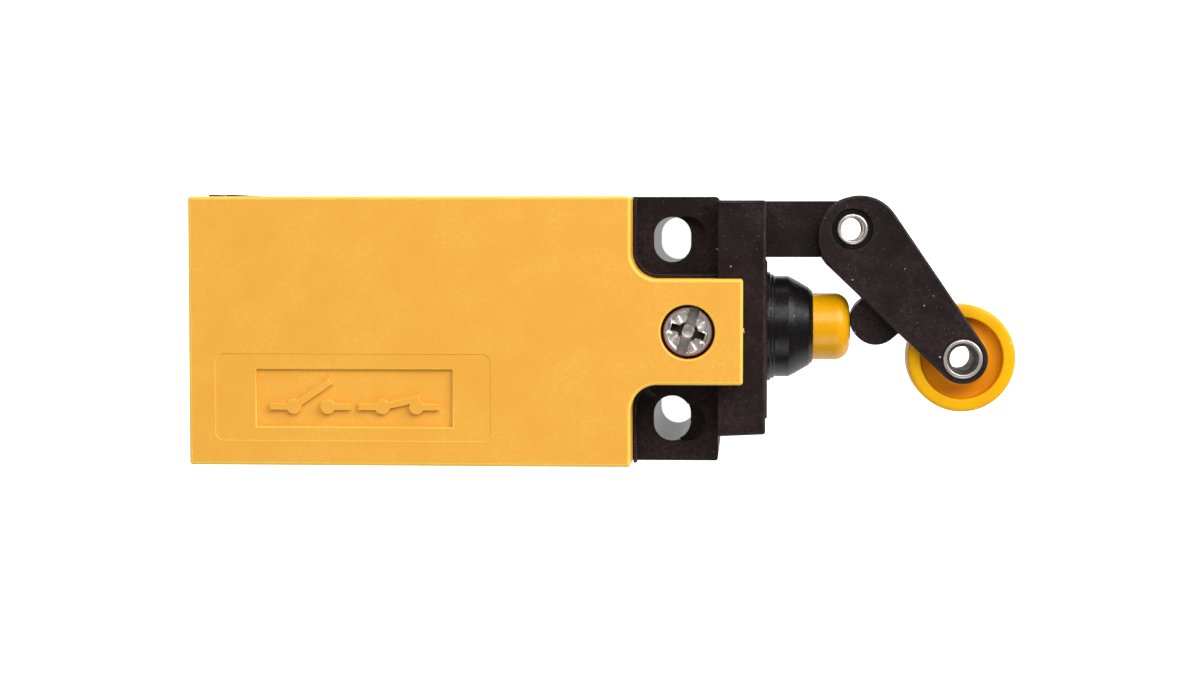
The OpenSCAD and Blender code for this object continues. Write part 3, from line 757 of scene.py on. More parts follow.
# %% Plates with a flat outline
def plate(name, outline, z0, z1):
    """A flat outline given a thickness, for cutters and raised marks."""
    shape = bmesh.new()
    low = [shape.verts.new(Vector((x, y, z0)) * MM) for x, y in outline]
    high = [shape.verts.new(Vector((x, y, z1)) * MM) for x, y in outline]
    shape.faces.new(low)
    shape.faces.new(high)
    for k in range(len(outline)):
        j = (k + 1) % len(outline)
        shape.faces.new((low[k], low[j], high[j], high[k]))
    return from_bmesh(name, shape)


def round_rectangle(x0, y0, x1, y1, r, steps=6):
    points = []
    centres = ((x1 - r, y1 - r), (x0 + r, y1 - r), (x0 + r, y0 + r), (x1 - r, y0 + r))
    for quarter, (x, y) in enumerate(centres):
        for k in range(steps + 1):
            angle = math.radians(90 * quarter + 90 * k / steps)
            points.append((x + r * math.cos(angle), y + r * math.sin(angle)))
    return points


def disc(x, y, r, sides=40):
    turns = [2 * math.pi * k / sides for k in range(sides)]
    return [(x + r * math.cos(turn), y + r * math.sin(turn)) for turn in turns]


def joined(name, pieces):
    """Puts several meshes in one object without changing them."""
    shape = bmesh.new()
    for piece in pieces:
        shape.from_mesh(piece.data)
        bpy.data.objects.remove(piece)
    return from_bmesh(name, shape)


# %% Handing a finished piece over
made_pieces = []


def finish(piece, body, slot, *nodes, angle=32, flat=False):
    """Shades a piece, gives it its finish, ties it to the model's body, and hides the model's parts that it stands
    for.
    """
    if not flat:
        smooth(piece, angle)
    piece.data.materials.clear()
    piece.data.materials.append(finishes[slot])
    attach(piece, body)
    if nodes:
        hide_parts(*nodes)
    made_pieces.append(piece.name)
    print("made", piece.name, "with", len(piece.data.polygons), "faces")
    return piece


print("mesh helpers ready")

# %% [markdown]
# ## Geometry Nodes for helices and for copies
# Three trees do everything on this switch that follows a rule. A spring is a spiral whose end turns
# lie closer together, with a round wire swept along it. A screw thread is a grid of points rolled into
# a tube, whose radius rises and falls with the turn. Copies of one screw go on a few given points,
# each turned by a fixed seed, because no two screws stop at the same angle. Each tree ends by making
# its copies real and setting the finish.

# %% Tree: a compression spring with closed end turns
def build_spring_tree():
    tree, given, result = new_tree(
        "spring_wire",
        "GeometryNodeTree",
        [
            ("Coil radius", "NodeSocketFloat", 0.003),
            ("Wire radius", "NodeSocketFloat", 0.0003),
            ("Length", "NodeSocketFloat", 0.01),
            ("Turns", "NodeSocketFloat", 7.0),
            ("Steps per turn", "NodeSocketInt", 24),
            ("Wire sides", "NodeSocketInt", 8),
            ("Finish", "NodeSocketMaterial", None),
        ],
        [("Geometry", "NodeSocketGeometry")],
    )
    spiral = node(
        tree,
        "GeometryNodeCurveSpiral",
        {
            "Resolution": given["Steps per turn"],
            "Rotations": given["Turns"],
            "Start Radius": given["Coil radius"],
            "End Radius": given["Coil radius"],
            "Height": 1.0,
        },
    )
    place = node(tree, "ShaderNodeSeparateXYZ", {0: node(tree, "GeometryNodeInputPosition").outputs[0]})
    along = place.outputs["Z"]
    # The share of the length reached at each point: it starts and ends slowly, over one turn.
    turn = calc(tree, "DIVIDE", 1.0, given["Turns"])
    rest = calc(tree, "SUBTRACT", 1.0, turn)
    first = calc(tree, "MINIMUM", along, turn)
    middle = calc(tree, "SUBTRACT", calc(tree, "MINIMUM", calc(tree, "MAXIMUM", along, turn), rest), turn)
    last = calc(tree, "MAXIMUM", calc(tree, "SUBTRACT", along, rest), 0.0)
    double = calc(tree, "MULTIPLY", turn, 2.0)
    first_part = calc(tree, "DIVIDE", calc(tree, "MULTIPLY", first, first), double)
    last_part = calc(tree, "SUBTRACT", last, calc(tree, "DIVIDE", calc(tree, "MULTIPLY", last, last), double))
    reached = calc(tree, "ADD", calc(tree, "ADD", first_part, middle), last_part)
    share = calc(tree, "DIVIDE", reached, rest)
    run = calc(tree, "SUBTRACT", given["Length"], calc(tree, "MULTIPLY", given["Wire radius"], 2.0))
    height = calc(tree, "MULTIPLY_ADD", share, run, given["Wire radius"])
    point = node(tree, "ShaderNodeCombineXYZ", {0: place.outputs["X"], 1: place.outputs["Y"], 2: height})
    path = node(
        tree, "GeometryNodeSetPosition", {"Geometry": spiral.outputs[0], "Position": point.outputs[0]}
    )
    section = node(
        tree,
        "GeometryNodeCurvePrimitiveCircle",
        {"Resolution": given["Wire sides"], "Radius": given["Wire radius"]},
    )
    wire = node(
        tree,
        "GeometryNodeCurveToMesh",
        {"Curve": path.outputs[0], "Profile Curve": section.outputs[0], "Fill Caps": True},
    )
    real = node(tree, "GeometryNodeRealizeInstances", {0: wire.outputs[0]})
    done = node(tree, "GeometryNodeSetMaterial", {0: real.outputs[0], "Material": given["Finish"]})
    tree.links.new(done.outputs[0], result[0])
    return tree


spring_tree = build_spring_tree()
print("tree:", spring_tree.name)

# %% Tree: a screw thread, on a bar or inside a sleeve
def build_thread_tree():
    tree, given, result = new_tree(
        "screw_thread",
        "GeometryNodeTree",
        [
            ("Back radius", "NodeSocketFloat", 0.0),
            ("Root radius", "NodeSocketFloat", 0.001),
            ("Crest radius", "NodeSocketFloat", 0.0012),
            ("Pitch", "NodeSocketFloat", 0.0005),
            ("Length", "NodeSocketFloat", 0.005),
            ("Rows", "NodeSocketInt", 60),
            ("Sides", "NodeSocketInt", 32),
            ("Finish", "NodeSocketMaterial", None),
        ],
        [("Geometry", "NodeSocketGeometry")],
    )
    # Rows run along the thread. The first and the last two lie on the back of the sleeve, or on the
    # axis of a bar, and close the shape.
    grid = node(
        tree,
        "GeometryNodeMeshGrid",
        {
            "Size X": 1.0,
            "Size Y": 1.0,
            "Vertices X": calc(tree, "ADD", given["Rows"], 3.0),
            "Vertices Y": calc(tree, "ADD", given["Sides"], 1.0),
        },
    )
    place = node(tree, "ShaderNodeSeparateXYZ", {0: node(tree, "GeometryNodeInputPosition").outputs[0]})
    last = calc(tree, "ADD", given["Rows"], 2.0)
    row = calc(tree, "ROUND", calc(tree, "MULTIPLY", calc(tree, "ADD", place.outputs["X"], 0.5), last))
    turn = calc(tree, "ADD", place.outputs["Y"], 0.5)
    share = calc(tree, "DIVIDE", calc(tree, "SUBTRACT", row, 1.0), calc(tree, "SUBTRACT", given["Rows"], 1.0))
    share = calc(tree, "MINIMUM", calc(tree, "MAXIMUM", share, 0.0), 1.0)
    closing = calc(tree, "GREATER_THAN", row, calc(tree, "ADD", given["Rows"], 1.5))
    hollow = calc(tree, "GREATER_THAN", given["Back radius"], 0.0)
    share = calc(tree, "SUBTRACT", share, calc(tree, "MULTIPLY", closing, hollow))
    along = calc(tree, "MULTIPLY", share, given["Length"])
    at_back = calc(
        tree,
        "MAXIMUM",
        calc(tree, "LESS_THAN", row, 0.5),
        calc(tree, "GREATER_THAN", row, calc(tree, "ADD", given["Rows"], 0.5)),
    )
    ridge = calc(tree, "SUBTRACT", calc(tree, "DIVIDE", along, given["Pitch"]), turn)
    wave = calc(tree, "PINGPONG", ridge, 0.5)
    wave = calc(tree, "MULTIPLY_ADD", wave, 3.0, -0.25, clamp=True)
    left = calc(tree, "MINIMUM", along, calc(tree, "SUBTRACT", given["Length"], along))
    wave = calc(tree, "MULTIPLY", wave, calc(tree, "DIVIDE", left, given["Pitch"], clamp=True))
    depth = calc(tree, "SUBTRACT", given["Crest radius"], given["Root radius"])
    radius = calc(tree, "MULTIPLY_ADD", wave, depth, given["Root radius"])
    to_back = calc(tree, "SUBTRACT", given["Back radius"], radius)
    radius = calc(tree, "MULTIPLY_ADD", at_back, to_back, radius)
    angle = calc(tree, "MULTIPLY", turn, 2 * math.pi)
    x = calc(tree, "MULTIPLY", radius, calc(tree, "COSINE", angle))
    y = calc(tree, "MULTIPLY", radius, calc(tree, "SINE", angle))
    point = node(tree, "ShaderNodeCombineXYZ", {0: x, 1: y, 2: along})
    rolled = node(
        tree, "GeometryNodeSetPosition", {"Geometry": grid.outputs[0], "Position": point.outputs[0]}
    )
    closed = node(tree, "GeometryNodeMergeByDistance", {0: rolled.outputs[0], "Distance": 1e-6})
    real = node(tree, "GeometryNodeRealizeInstances", {0: closed.outputs[0]})
    done = node(tree, "GeometryNodeSetMaterial", {0: real.outputs[0], "Material": given["Finish"]})
    tree.links.new(done.outputs[0], result[0])
    return tree


thread_tree = build_thread_tree()
print("tree:", thread_tree.name)

# %% Tree: copies of one piece on given points
def build_copies_tree():
    tree, given, result = new_tree(
        "copies_on_points",
        "GeometryNodeTree",
        [
            ("Geometry", "NodeSocketGeometry", None),
            ("Part", "NodeSocketObject", None),
            ("Most turn", "NodeSocketFloat", 3.0),
            ("Seed", "NodeSocketInt", 4),
            ("Finish", "NodeSocketMaterial", None),
        ],
        [("Geometry", "NodeSocketGeometry")],
    )
    part = node(tree, "GeometryNodeObjectInfo", {"Object": given["Part"]})
    turn = node(tree, "FunctionNodeRandomValue", data_type="FLOAT")
    tree.links.new(given["Most turn"], turn.inputs[3])
    tree.links.new(given["Seed"], turn.inputs["Seed"])
    spin = node(tree, "ShaderNodeCombineXYZ", {2: turn.outputs[1]})
    copies = node(
        tree,
        "GeometryNodeInstanceOnPoints",
        {"Points": given["Geometry"], "Instance": part.outputs["Geometry"], "Rotation": spin.outputs[0]},
    )
    real = node(tree, "GeometryNodeRealizeInstances", {0: copies.outputs[0]})
    done = node(tree, "GeometryNodeSetMaterial", {0: real.outputs[0], "Material": given["Finish"]})
    tree.links.new(done.outputs[0], result[0])
    return tree


copies_tree = build_copies_tree()
print("tree:", copies_tree.name)

# %% Running a tree and keeping a plain mesh
def grow(name, tree, points=(), **sizes):
    """Runs a tree and keeps what it makes. Points are in millimetres; sizes go to the tree as given, so lengths
    come in metres.
    """
    host = bpy.data.meshes.new(name)
    host.from_pydata([Vector(point) * MM for point in points], [], [])
    piece = as_object(name, host)
    modifier = piece.modifiers.new(tree.name, "NODES")
    modifier.node_group = tree
    for item in tree.interface.items_tree:
        wanted = sizes.get(item.name.replace(" ", "_"))
        if item.in_out == "INPUT" and wanted is not None:
            modifier[item.identifier] = wanted
    return bake_modifiers(piece)


def lay_along_x(piece, x, y, z):
    """Turns a mesh made along Z so that it runs along X from the given place."""
    turn = Matrix(((0, 0, 1, 0), (1, 0, 0, 0), (0, 1, 0, 0), (0, 0, 0, 1)))
    piece.data.transform(Matrix.Translation(Vector((x, y, z)) * MM) @ turn)
    return piece


def stand_at(piece, x, y, z):
    piece.data.transform(Matrix.Translation(Vector((x, y, z)) * MM))
    return piece


def outward(piece):
    """Merges doubles and turns every face outwards."""
    shape = bmesh.new()
    shape.from_mesh(piece.data)
    bmesh.ops.remove_doubles(shape, verts=shape.verts, dist=1e-7)
    bmesh.ops.recalc_face_normals(shape, faces=shape.faces)
    shape.to_mesh(piece.data)
    shape.free()
    return piece


print("growing tools ready")

# %% [markdown]
# ## The cover
# The yellow cover is a moulded lid with a tongue that reaches over the head and takes the one screw.
# Its outline is exact in the model, so a copy is rounded: the upright corners together with the rim of
# the face, then the recess of the screw, then the sunken panel. A shallow field frames the panel, and
# a small nub stands on the tongue's end.

# %% Cover: shallow field round the panel
cover = copy_of("front_cover", "cover_shell")
field_depth = 0.1
field = (panel_low.x - 4.8, panel_low.y - 1.6, panel_high.x + 4.45, panel_high.y + 1.8)
field_cutter = plate("field_cutter", round_rectangle(*field, 1.0), top_z - field_depth, top_z + 1)
carve(cover, field_cutter)
nub = turned(
    "nub",
    [(0, -0.2), (0.3, -0.2), (0.25, 0.13, 0.08), (0, 0.13)],
    (cover_high.x, 0.2, top_z - 0.9),
    along="x",
    sides=20,
)
carve(cover, nub, "UNION")
print("field", [round(edge, 2) for edge in field])


# %% Cover: rounded edges
def in_field(p):
    return field[0] - 0.1 < p.x < field[2] + 0.1 and field[1] - 0.1 < p.y < field[3] + 0.1


def in_panel(p):
    return panel_low.x - 0.1 < p.x < panel_high.x + 0.1 and panel_low.y - 0.1 < p.y < panel_high.y + 0.1


def round_screw(p):
    return math.hypot(p.x - screw_at.x, p.y) < recess_r + 0.1


def upright(a, b):
    return near(a.x, b.x) and near(a.y, b.y) and abs(a.z - b.z) > 1


def cover_corner(a, b):
    at_end = near(a.x, cover_low.x) or near(a.x, cover_x1)
    return upright(a, b) and ((near(abs(a.y), side_y) and at_end) or near(a.x, cover_high.x))


def cover_rim(a, b):
    on_top = near(a.z, top_z) and near(b.z, top_z)
    return on_top and not (in_field(a) or in_field(b) or round_screw(a) or round_screw(b))


def on_cover_side(p):
    return near(abs(p.y), side_y, 0.6) or near(p.x, cover_low.x, 0.6) or near(p.x, cover_x1, 0.6)


round_edges(
    cover,
    [
        (0.36, 4, lambda a, b: cover_corner(a, b) or cover_rim(a, b)),
        (0.22, 3, lambda a, b: both(a, b, lambda p: near(p.z, top_z) and round_screw(p))),
        (0.15, 3, lambda a, b: both(a, b, lambda p: p.z > top_z - 0.15 and in_panel(p))),
        (0.07, 2, lambda a, b: both(a, b, lambda p: near(p.z, top_z) and in_field(p))),
        (0.2, 2, lambda a, b: both(a, b, lambda p: near(p.z, base_h) and on_cover_side(p))),
    ],
)
# Painted shade: the wall of the screw's recess takes the cover's shade colour, a dark red-brown.
mark(cover, "shaded", 1.0, lambda c, n: round_screw(c) and top_z - 4 < c.z < top_z - 0.25)
finish(cover, "cover", "cover_yellow", "front_cover")

# %% [markdown]
# The panel carries a raised mark. This one is a plain drawing of the two contacts inside, in the way
# of a circuit diagram: one drawn open and one drawn closed. The strokes are joined plates with a
# small rounding, level with the face of the cover.

# %% Cover: raised contact symbols
symbol_l = 8.6
symbol_gap = 1.9
stroke_w = 0.75
terminal_r = 0.85
symbol_z0, symbol_z1 = panel_low.z - 0.05, top_z - 0.03


def stroke(x0, y0, x1, y1):
    run = Vector((x1 - x0, y1 - y0)).normalized() * stroke_w / 2
    side = Vector((-run.y, run.x))
    ends = [Vector((x0, y0)) - run, Vector((x1, y1)) + run]
    outline = [ends[0] - side, ends[1] - side, ends[1] + side, ends[0] + side]
    return plate("stroke", outline, symbol_z0, symbol_z1)


def contact_symbol(x, y, rise):
    """Two leads, their terminals, and a blade that rises away from or lies on the second one."""
    left, right = x + 0.28 * symbol_l, x + 0.74 * symbol_l
    parts = [stroke(x, y, left, y), stroke(right, y, x + symbol_l, y), stroke(left, y, right, y + rise)]
    for at in (left, right):
        parts.append(plate("terminal", disc(at, y, terminal_r, 28), symbol_z0, symbol_z1))
    symbol = parts[0]
    for part in parts[1:]:
        carve(symbol, part, "UNION")
    return symbol


symbol_y = (panel_low.y + panel_high.y) / 2 - 1.0
open_symbol = contact_symbol(panel_low.x + symbol_gap, symbol_y, 2.7)
closed_symbol = contact_symbol(panel_high.x - symbol_gap - symbol_l, symbol_y, 0.9)
symbols = joined("contact_symbols", [open_symbol, closed_symbol])
round_edges(symbols, [(0.1, 2, lambda a, b: near(a.z, top_z, 0.04) and near(b.z, top_z, 0.04))])
finish(symbols, "cover", "cover_yellow")

# %% [markdown]
# Under the cover a soft gasket seals the rim. It is a flat frame, so a copy with its edges just
# broken is enough.

# %% Gasket
gasket = copy_of("cover_gasket", "rim_gasket")
round_edges(gasket, [(0.12, 2, lambda a, b: True)])
finish(gasket, "cover", "gasket_rubber", "cover_gasket")

# %% [markdown]
# ## The cover screw
# The screw is what the eye goes to on the yellow tongue. Its head has a rolled rim, one wide slot all
# the way across, a narrower and shorter cross slot, a round bowl where they meet, and three short
# grooves in each quarter between them. The head is turned from a profile, and the drive is cut out
# of it. The slots' walls are marked as shaded, since little light reaches them. The shank's thread
# is grown by the thread tree.

# %% Cover screw: head
head_r = (screw_high.x - screw_low.x) / 2
head_h = 2.2
face_z = screw_high.z
head_z = face_z - head_h
shank_r = 1.6
drive_turn = math.radians(-18)
cross_turn = drive_turn + math.pi / 2
slot_half, cross_half, cross_reach = 0.58, 0.42, 2.0
middle_drop = 0.13


def groove(reach, way, turn, length, width, depth):
    """A V-shaped cutter for the head's sunken middle, at a reach from the axis along a way."""
    along = Vector((-math.sin(turn), math.cos(turn), 0)) * length / 2
    side = Vector((math.cos(turn), math.sin(turn), 0)) * width
    x, y = screw_at.x - reach * math.sin(way), reach * math.cos(way)
    middle = Vector((x, y, face_z - middle_drop - depth))
    up = Vector((0, 0, 2 * depth))
    shape = bmesh.new()
    ends = []
    for end in (middle - along, middle + along):
        ends.append([shape.verts.new(point * MM) for point in (end, end + side + up, end - side + up)])
    shape.faces.new(ends[0])
    shape.faces.new(ends[1])
    for k in range(3):
        j = (k + 1) % 3
        shape.faces.new((ends[0][k], ends[0][j], ends[1][j], ends[1][k]))
    return from_bmesh("groove", shape)


def bar_cutter(name, half_length, half_width, z0, z1, angle):
    """A square bar through the screw's axis, turned about it."""
    along = Vector((-math.sin(angle), math.cos(angle)))
    side = Vector((along.y, -along.x)) * half_width
    along = along * half_length
    centre = Vector((screw_at.x, screw_at.y))
    outline = [centre - along - side, centre + along - side, centre + along + side, centre - along + side]
    return plate(name, outline, z0, z1)


screw_head = turned(
    "cover_screw_head",
    [
        (0, head_z),
        (head_r - 0.02, head_z, 0.15),
        (head_r, face_z, 0.2),
        (head_r - 0.48, face_z, 0.16),
        (head_r - 0.64, face_z - 0.16, 0.06),
        (0, face_z - 0.06),
    ],
    (screw_at.x, screw_at.y, 0),
    steps=6,
)
carve(screw_head, bar_cutter("slot", head_r + 1, slot_half, face_z - 0.85, face_z + 1, drive_turn))
carve(screw_head, bar_cutter("cross", cross_reach, cross_half, face_z - 1.25, face_z + 1, cross_turn))
bowl = turned(
    "bowl",
    [(0, face_z - 1.6), (0.8, face_z - 1.45, 0.2), (1.2, face_z + 0.05), (0, face_z + 0.05)],
    (screw_at.x, screw_at.y, 0),
    sides=40,
)
carve(screw_head, bowl)
for quarter in range(4):
    way = drive_turn + math.radians(45 + 90 * quarter)
    carve(screw_head, groove(1.75, way, way, length=1.0, width=0.56, depth=0.16))
    for lean in (-0.5, 0.5):
        turn = way + lean * 2.2
        carve(screw_head, groove(2.0, way + lean, turn, length=0.55, width=0.46, depth=0.14))
round_edges(screw_head, [(0.04, 2, lambda a, b: a.z > face_z - 0.3 and b.z > face_z - 0.3)])


def from_slot(c):
    """Distance from the middle line of the wide slot."""
    return abs((c.x - screw_at.x) * math.cos(drive_turn) + (c.y - screw_at.y) * math.sin(drive_turn))


def in_wide_slot(c, n):
    return face_z - 1.0 < c.z < face_z - 0.3 and from_slot(c) < slot_half + 0.07


def in_cross_slot(c, n):
    return head_z < c.z < face_z - 0.3 and slot_half + 0.07 < from_slot(c) < cross_reach + 0.1


mark(screw_head, "shaded", 0.55, in_wide_slot)
mark(screw_head, "shaded", 0.95, in_cross_slot)
finish(screw_head, "cover", "nickel_steel", "cover_screw", angle=40)

# %% Cover screw: threaded shank
shank_low = screw_low.z
shank = grow(
    "cover_screw_shank",
    thread_tree,
    Root_radius=(shank_r - 0.28) * MM,
    Crest_radius=shank_r * MM,
    Pitch=0.6 * MM,
    Length=(head_z - shank_low) * MM,
    Rows=72,
    Sides=32,
    Finish=finishes["nickel_steel"],
)
outward(stand_at(shank, screw_at.x, screw_at.y, shank_low))
finish(shank, "cover", "nickel_steel", "cover_screw")

# %% Washer that keeps the screw in the lifted cover, and the brass insert with its knurl
keeper_low, keeper_high = span("cover_screw_retainer")
keeper_r = (keeper_high.x - keeper_low.x) / 2
keeper = turned(
    "screw_keeper",
    [
        (shank_r + 0.05, keeper_low.z, 0.1),
        (keeper_r, keeper_low.z, 0.12),
        (keeper_r, keeper_high.z, 0.12),
        (shank_r + 0.05, keeper_high.z, 0.1),
    ],
    (screw_at.x, screw_at.y, 0),
    closed=True,
)
finish(keeper, "cover", "nickel_steel", "cover_screw_retainer")

insert_low, insert_high = span("threaded_insert")
insert_r = (insert_high.x - insert_low.x) / 2


def knurl(angle, radius):
    return -0.09 * (1 - abs(math.cos(15 * angle))) if radius > insert_r - 0.2 else 0


insert = turned(
    "knurled_insert",
    [
        (shank_r + 0.05, insert_low.z, 0.15),
        (insert_r, insert_low.z, 0.2),
        (insert_r, insert_high.z, 0.2),
        (shank_r + 0.05, insert_high.z, 0.15),
    ],
    (screw_at.x, screw_at.y, 0),
    closed=True,
    sides=120,
    ripple=knurl,
)
finish(insert, "housing", "brass", "threaded_insert")

# %% [markdown]
# ## The base
# The black base is the box that everything sits in. Its two ears beside the tongue have the fixing
# slots, each beside a blind pocket. The cable comes in through a threaded hole at the far end. The
# copy's hole is opened to the root of the thread, and a sleeve with the thread's ridges is grown
# in it, because a thread cut by a boolean would be slow and ragged.

# %% Base: opened cable entry and ejector marks
entry = next(m for m in frame["record"]["mounts"] if m["name"] == "cable_entry")
entry_r = entry["dims"]["r_mm"]
entry_l = entry["dims"]["length_mm"]
entry_z = entry["pos_m"][2] / MM
thread_depth = 0.7
thread_pitch = 1.5
base = copy_of("base_housing", "base_shell")
bore = turned(
    "bore",
    [(0, -1), (entry_r + thread_depth, -1), (entry_r + thread_depth, entry_l + 0.4), (0, entry_l + 0.4)],
    (base_x0, 0, entry_z),
    along="x",
    sides=96,
)
carve(base, bore)


ejector = Vector((head_x - 1.7, side_y - 2.05))
ejector_r = 0.85
ejector_depth = 0.14


def ejector_mark(x, y, z, r):
    return plate("ejector_mark", disc(x, y, r, 28), z - ejector_depth, z + ejector_depth)


carve(base, ejector_mark(ejector.x, ejector.y, base_h, ejector_r))
for x in (base_x0 + 5, base_x0 + 27, head_x - 14):
    for y in (-side_y + 5, side_y - 5):
        carve(base, ejector_mark(x, y, 0, 1.6))
print("base:", len(base.data.polygons), "faces after its cuts")

# %% Base: rounded edges
rim_z = max(p.z for p in corners("base_housing") if abs(p.y) > tongue_y + 1)


def outer_corner(a, b):
    at_end = near(a.x, base_x0) or near(a.x, head_x)
    return upright(a, b) and at_end and near(abs(a.y), side_y) and abs(a.z - b.z) > 10


def on_outline(p):
    return near(p.x, base_x0, 0.55) or near(p.x, head_x, 0.55) or near(abs(p.y), side_y, 0.55)


def foot_edge(a, b):
    return both(a, b, lambda p: near(p.z, 0) and on_outline(p))


def seam(a, b):
    return both(a, b, lambda p: near(p.x, head_x, 0.05))


def ear_edge(a, b):
    on_edge = both(a, b, lambda p: near(p.z, base_h) and p.x > cover_x1 + 0.8 and on_outline(p))
    return on_edge and not seam(a, b)


def round_ejector(p):
    away = math.hypot(p.x - ejector.x, p.y - ejector.y) - ejector_r
    return -0.15 < away < 0.15 and base_h - 0.3 < p.z < base_h + 0.01


def ear_rim(a, b):
    return both(a, b, lambda p: near(p.z, rim_z) and p.x > cover_x1 - 1 and abs(p.y) > tongue_y)


def slot_rim(a, b):
    def on_rim(p):
        return (near(p.z, base_h) or near(p.z, 0)) and abs(p.x) < 4.2 and 7 < abs(p.y) < 14

    return both(a, b, on_rim)


def seat_edge(a, b):
    return both(a, b, lambda p: p.z > base_h + 1 and p.x > cover_x1 and abs(p.y) < tongue_y)


def entry_mouth(a, b):
    return both(a, b, lambda p: near(p.x, base_x0) and math.hypot(p.y, p.z - entry_z) < entry_r + 1)


def rib_edge(a, b):
    return both(a, b, lambda p: abs(p.y) > side_y + 0.2)


round_edges(
    base,
    [
        (0.32, 4, lambda a, b: outer_corner(a, b) or ear_edge(a, b) or foot_edge(a, b)),
        (0.12, 2, ear_rim),
        (0.1, 2, lambda a, b: seam(a, b) and both(a, b, lambda p: p.z > 0.5)),
        (0.3, 3, entry_mouth),
        (0.14, 3, slot_rim),
        (0.13, 2, lambda a, b: both(a, b, lambda p: near(p.z, base_h) and round_ejector(p))),
        (0.2, 2, seat_edge),
        (0.1, 2, rib_edge),
    ],
)


def in_ear(c):
    """In the band beside the tongue that holds the slot and the pocket."""
    return 6.5 < abs(c.y) < 14.5


def in_slot(c, n):
    return in_ear(c) and abs(c.x) < 3.4 and 0.3 < c.z < base_h - 0.3 and abs(n.z) < 0.3


def in_pocket(c, n):
    past_slot = 2.3 < c.x < head_x - 0.3
    return in_ear(c) and past_slot and base_h - 4 < c.z < base_h - 0.01 and abs(n.z) < 0.98


def in_seam(c, n):
    return near(c.x, head_x, 0.14) and c.z > 1 and (c.z > base_h - 0.4 or abs(c.y) > side_y - 0.4)


mark(base, "polished", 1.0, in_slot)
# Painted shade: the pockets' walls and rims, the seam line beside the head and the ring of the ejector mark are
# darkened to near black.
mark(base, "shaded", 1.0, in_pocket)
mark(base, "shaded", 1.0, in_seam)
mark(base, "shaded", 0.9, lambda c, n: round_ejector(c) and abs(n.z) < 0.99)
finish(base, "housing", "black_plastic", "base_housing")

# %% Base: thread of the cable entry
entry_thread = grow(
    "entry_thread",
    thread_tree,
    Back_radius=(entry_r + thread_depth + 0.02) * MM,
    Root_radius=(entry_r + thread_depth - 0.04) * MM,
    Crest_radius=entry_r * MM,
    Pitch=thread_pitch * MM,
    Length=(entry_l - 0.4) * MM,
    Rows=44,
    Sides=96,
    Finish=finishes["black_plastic"],
)
outward(lay_along_x(entry_thread, base_x0 + 0.4, 0, entry_z))
finish(entry_thread, "housing", "black_plastic")

# %% [markdown]
# ## The head
# The head is the black plate on the end of the base, with the arm that carries the lever. It is one
# moulding, so it is one piece: a copy of the model's part with the plate's edges, the arm's edges and
# the low raised pad on its face all rounded.

# %% Head: rounded edges
head = copy_of("head_body", "head_moulding")
arm_half = 2.5
arm_low, arm_high = axis_z - arm_half, axis_z + arm_half


def on_plate(p):
    return head_x - 0.01 < p.x < plate_x + 0.02


def plate_edge(a, b):
    def at_skin(p):
        at_side = near(p.y, head_high.y) or near(p.y, head_low.y, 0.3)
        return on_plate(p) and (at_side or near(p.z, head_low.z) or near(p.z, head_high.z))

    outer = both(a, b, at_skin) and not both(a, b, lambda p: near(p.x, head_x, 0.05))
    return outer and not both(a, b, lambda p: near(p.x, plate_x) and arm_low - 0.1 < p.z < arm_high + 0.1)


def arm_edge(a, b):
    def on_arm(p):
        return p.x > plate_x - 0.05 and (near(p.z, arm_low) or near(p.z, arm_high)) and p.y > 8.2

    bore = both(a, b, lambda p: math.hypot(p.x - pivot.x, p.y - pivot.y) < 2.2)
    return both(a, b, on_arm) and not bore


def pad_edge(a, b):
    return both(a, b, lambda p: plate_x + 0.15 < p.x < plate_x + 0.3 and abs(p.z - axis_z) < 9.6)


def plate_seam(a, b):
    def on_seam(p):
        at_side = near(p.z, head_high.z) or near(abs(p.y), head_high.y, 0.3)
        return near(p.x, head_x, 0.05) and at_side

    return both(a, b, on_seam)


round_edges(head, [(0.3, 4, plate_edge), (0.1, 2, plate_seam), (0.3, 4, arm_edge), (0.1, 2, pad_edge)])
# Painted shade: the plate's edge along the seam with the base is darkened to a thin near-black line.
mark(head, "shaded", 1.0, lambda c, n: c.x < head_x + 0.13 and -0.98 < n.x < -0.2)
finish(head, "housing", "black_plastic", "head_body")

seal = copy_of("head_seal", "head_ring")
finish(seal, "housing", "gasket_rubber", "head_seal", angle=60)

# %% [markdown]
# ## Plunger, boot and return spring
# These are round, so each is a turned profile with its corners softened. The boot has a flange, a
# straight part, a cone and a lip. The plunger's cap is domed a very little, with a generous rounding.

# %% Boot
def widest(node_name, test):
    """Largest distance from the plunger's axis among a part's points that pass a test."""
    return max(math.hypot(p.y, p.z - axis_z) for p in corners(node_name) if test(p))


boot_low, boot_high = span("rubber_boot")
flange_r = (boot_high.z - boot_low.z) / 2
plunger_low, plunger_high = span("plunger")
cap_r = widest("plunger", lambda p: p.x > plate_x - 1)
boot_r = widest("rubber_boot", lambda p: p.x > plate_x + 0.75)
boot_nose = boot_high.x - plate_x
boot = turned(
    "plunger_boot",
    [
        (boot_r - 0.85, 0.01),
        (boot_r - 0.85, -1, 0.1),
        (boot_r - 0.25, -1, 0.1),
        (boot_r - 0.25, 0.01),
        (flange_r, 0.01, 0.05),
        (flange_r, 0.7, 0.2),
        (boot_r + 0.22, 0.7, 0.1),
        (boot_r + 0.2, 1.1, 0.12),
        (boot_r, 1.1, 0.1),
        (boot_r, 2.8, 0.12),
        (boot_r - 0.34, 3.5, 0.5),
        (cap_r + 0.72, boot_nose - 0.7, 0.6),
        (cap_r + 0.04, boot_nose, 0.12),
        (cap_r + 0.05, boot_nose - 1),
        (cap_r + 0.3, boot_nose - 1.2),
        (boot_r - 0.85, 2.4, 0.3),
    ],
    (plate_x, 0, axis_z),
    along="x",
    closed=True,
    sides=96,
)
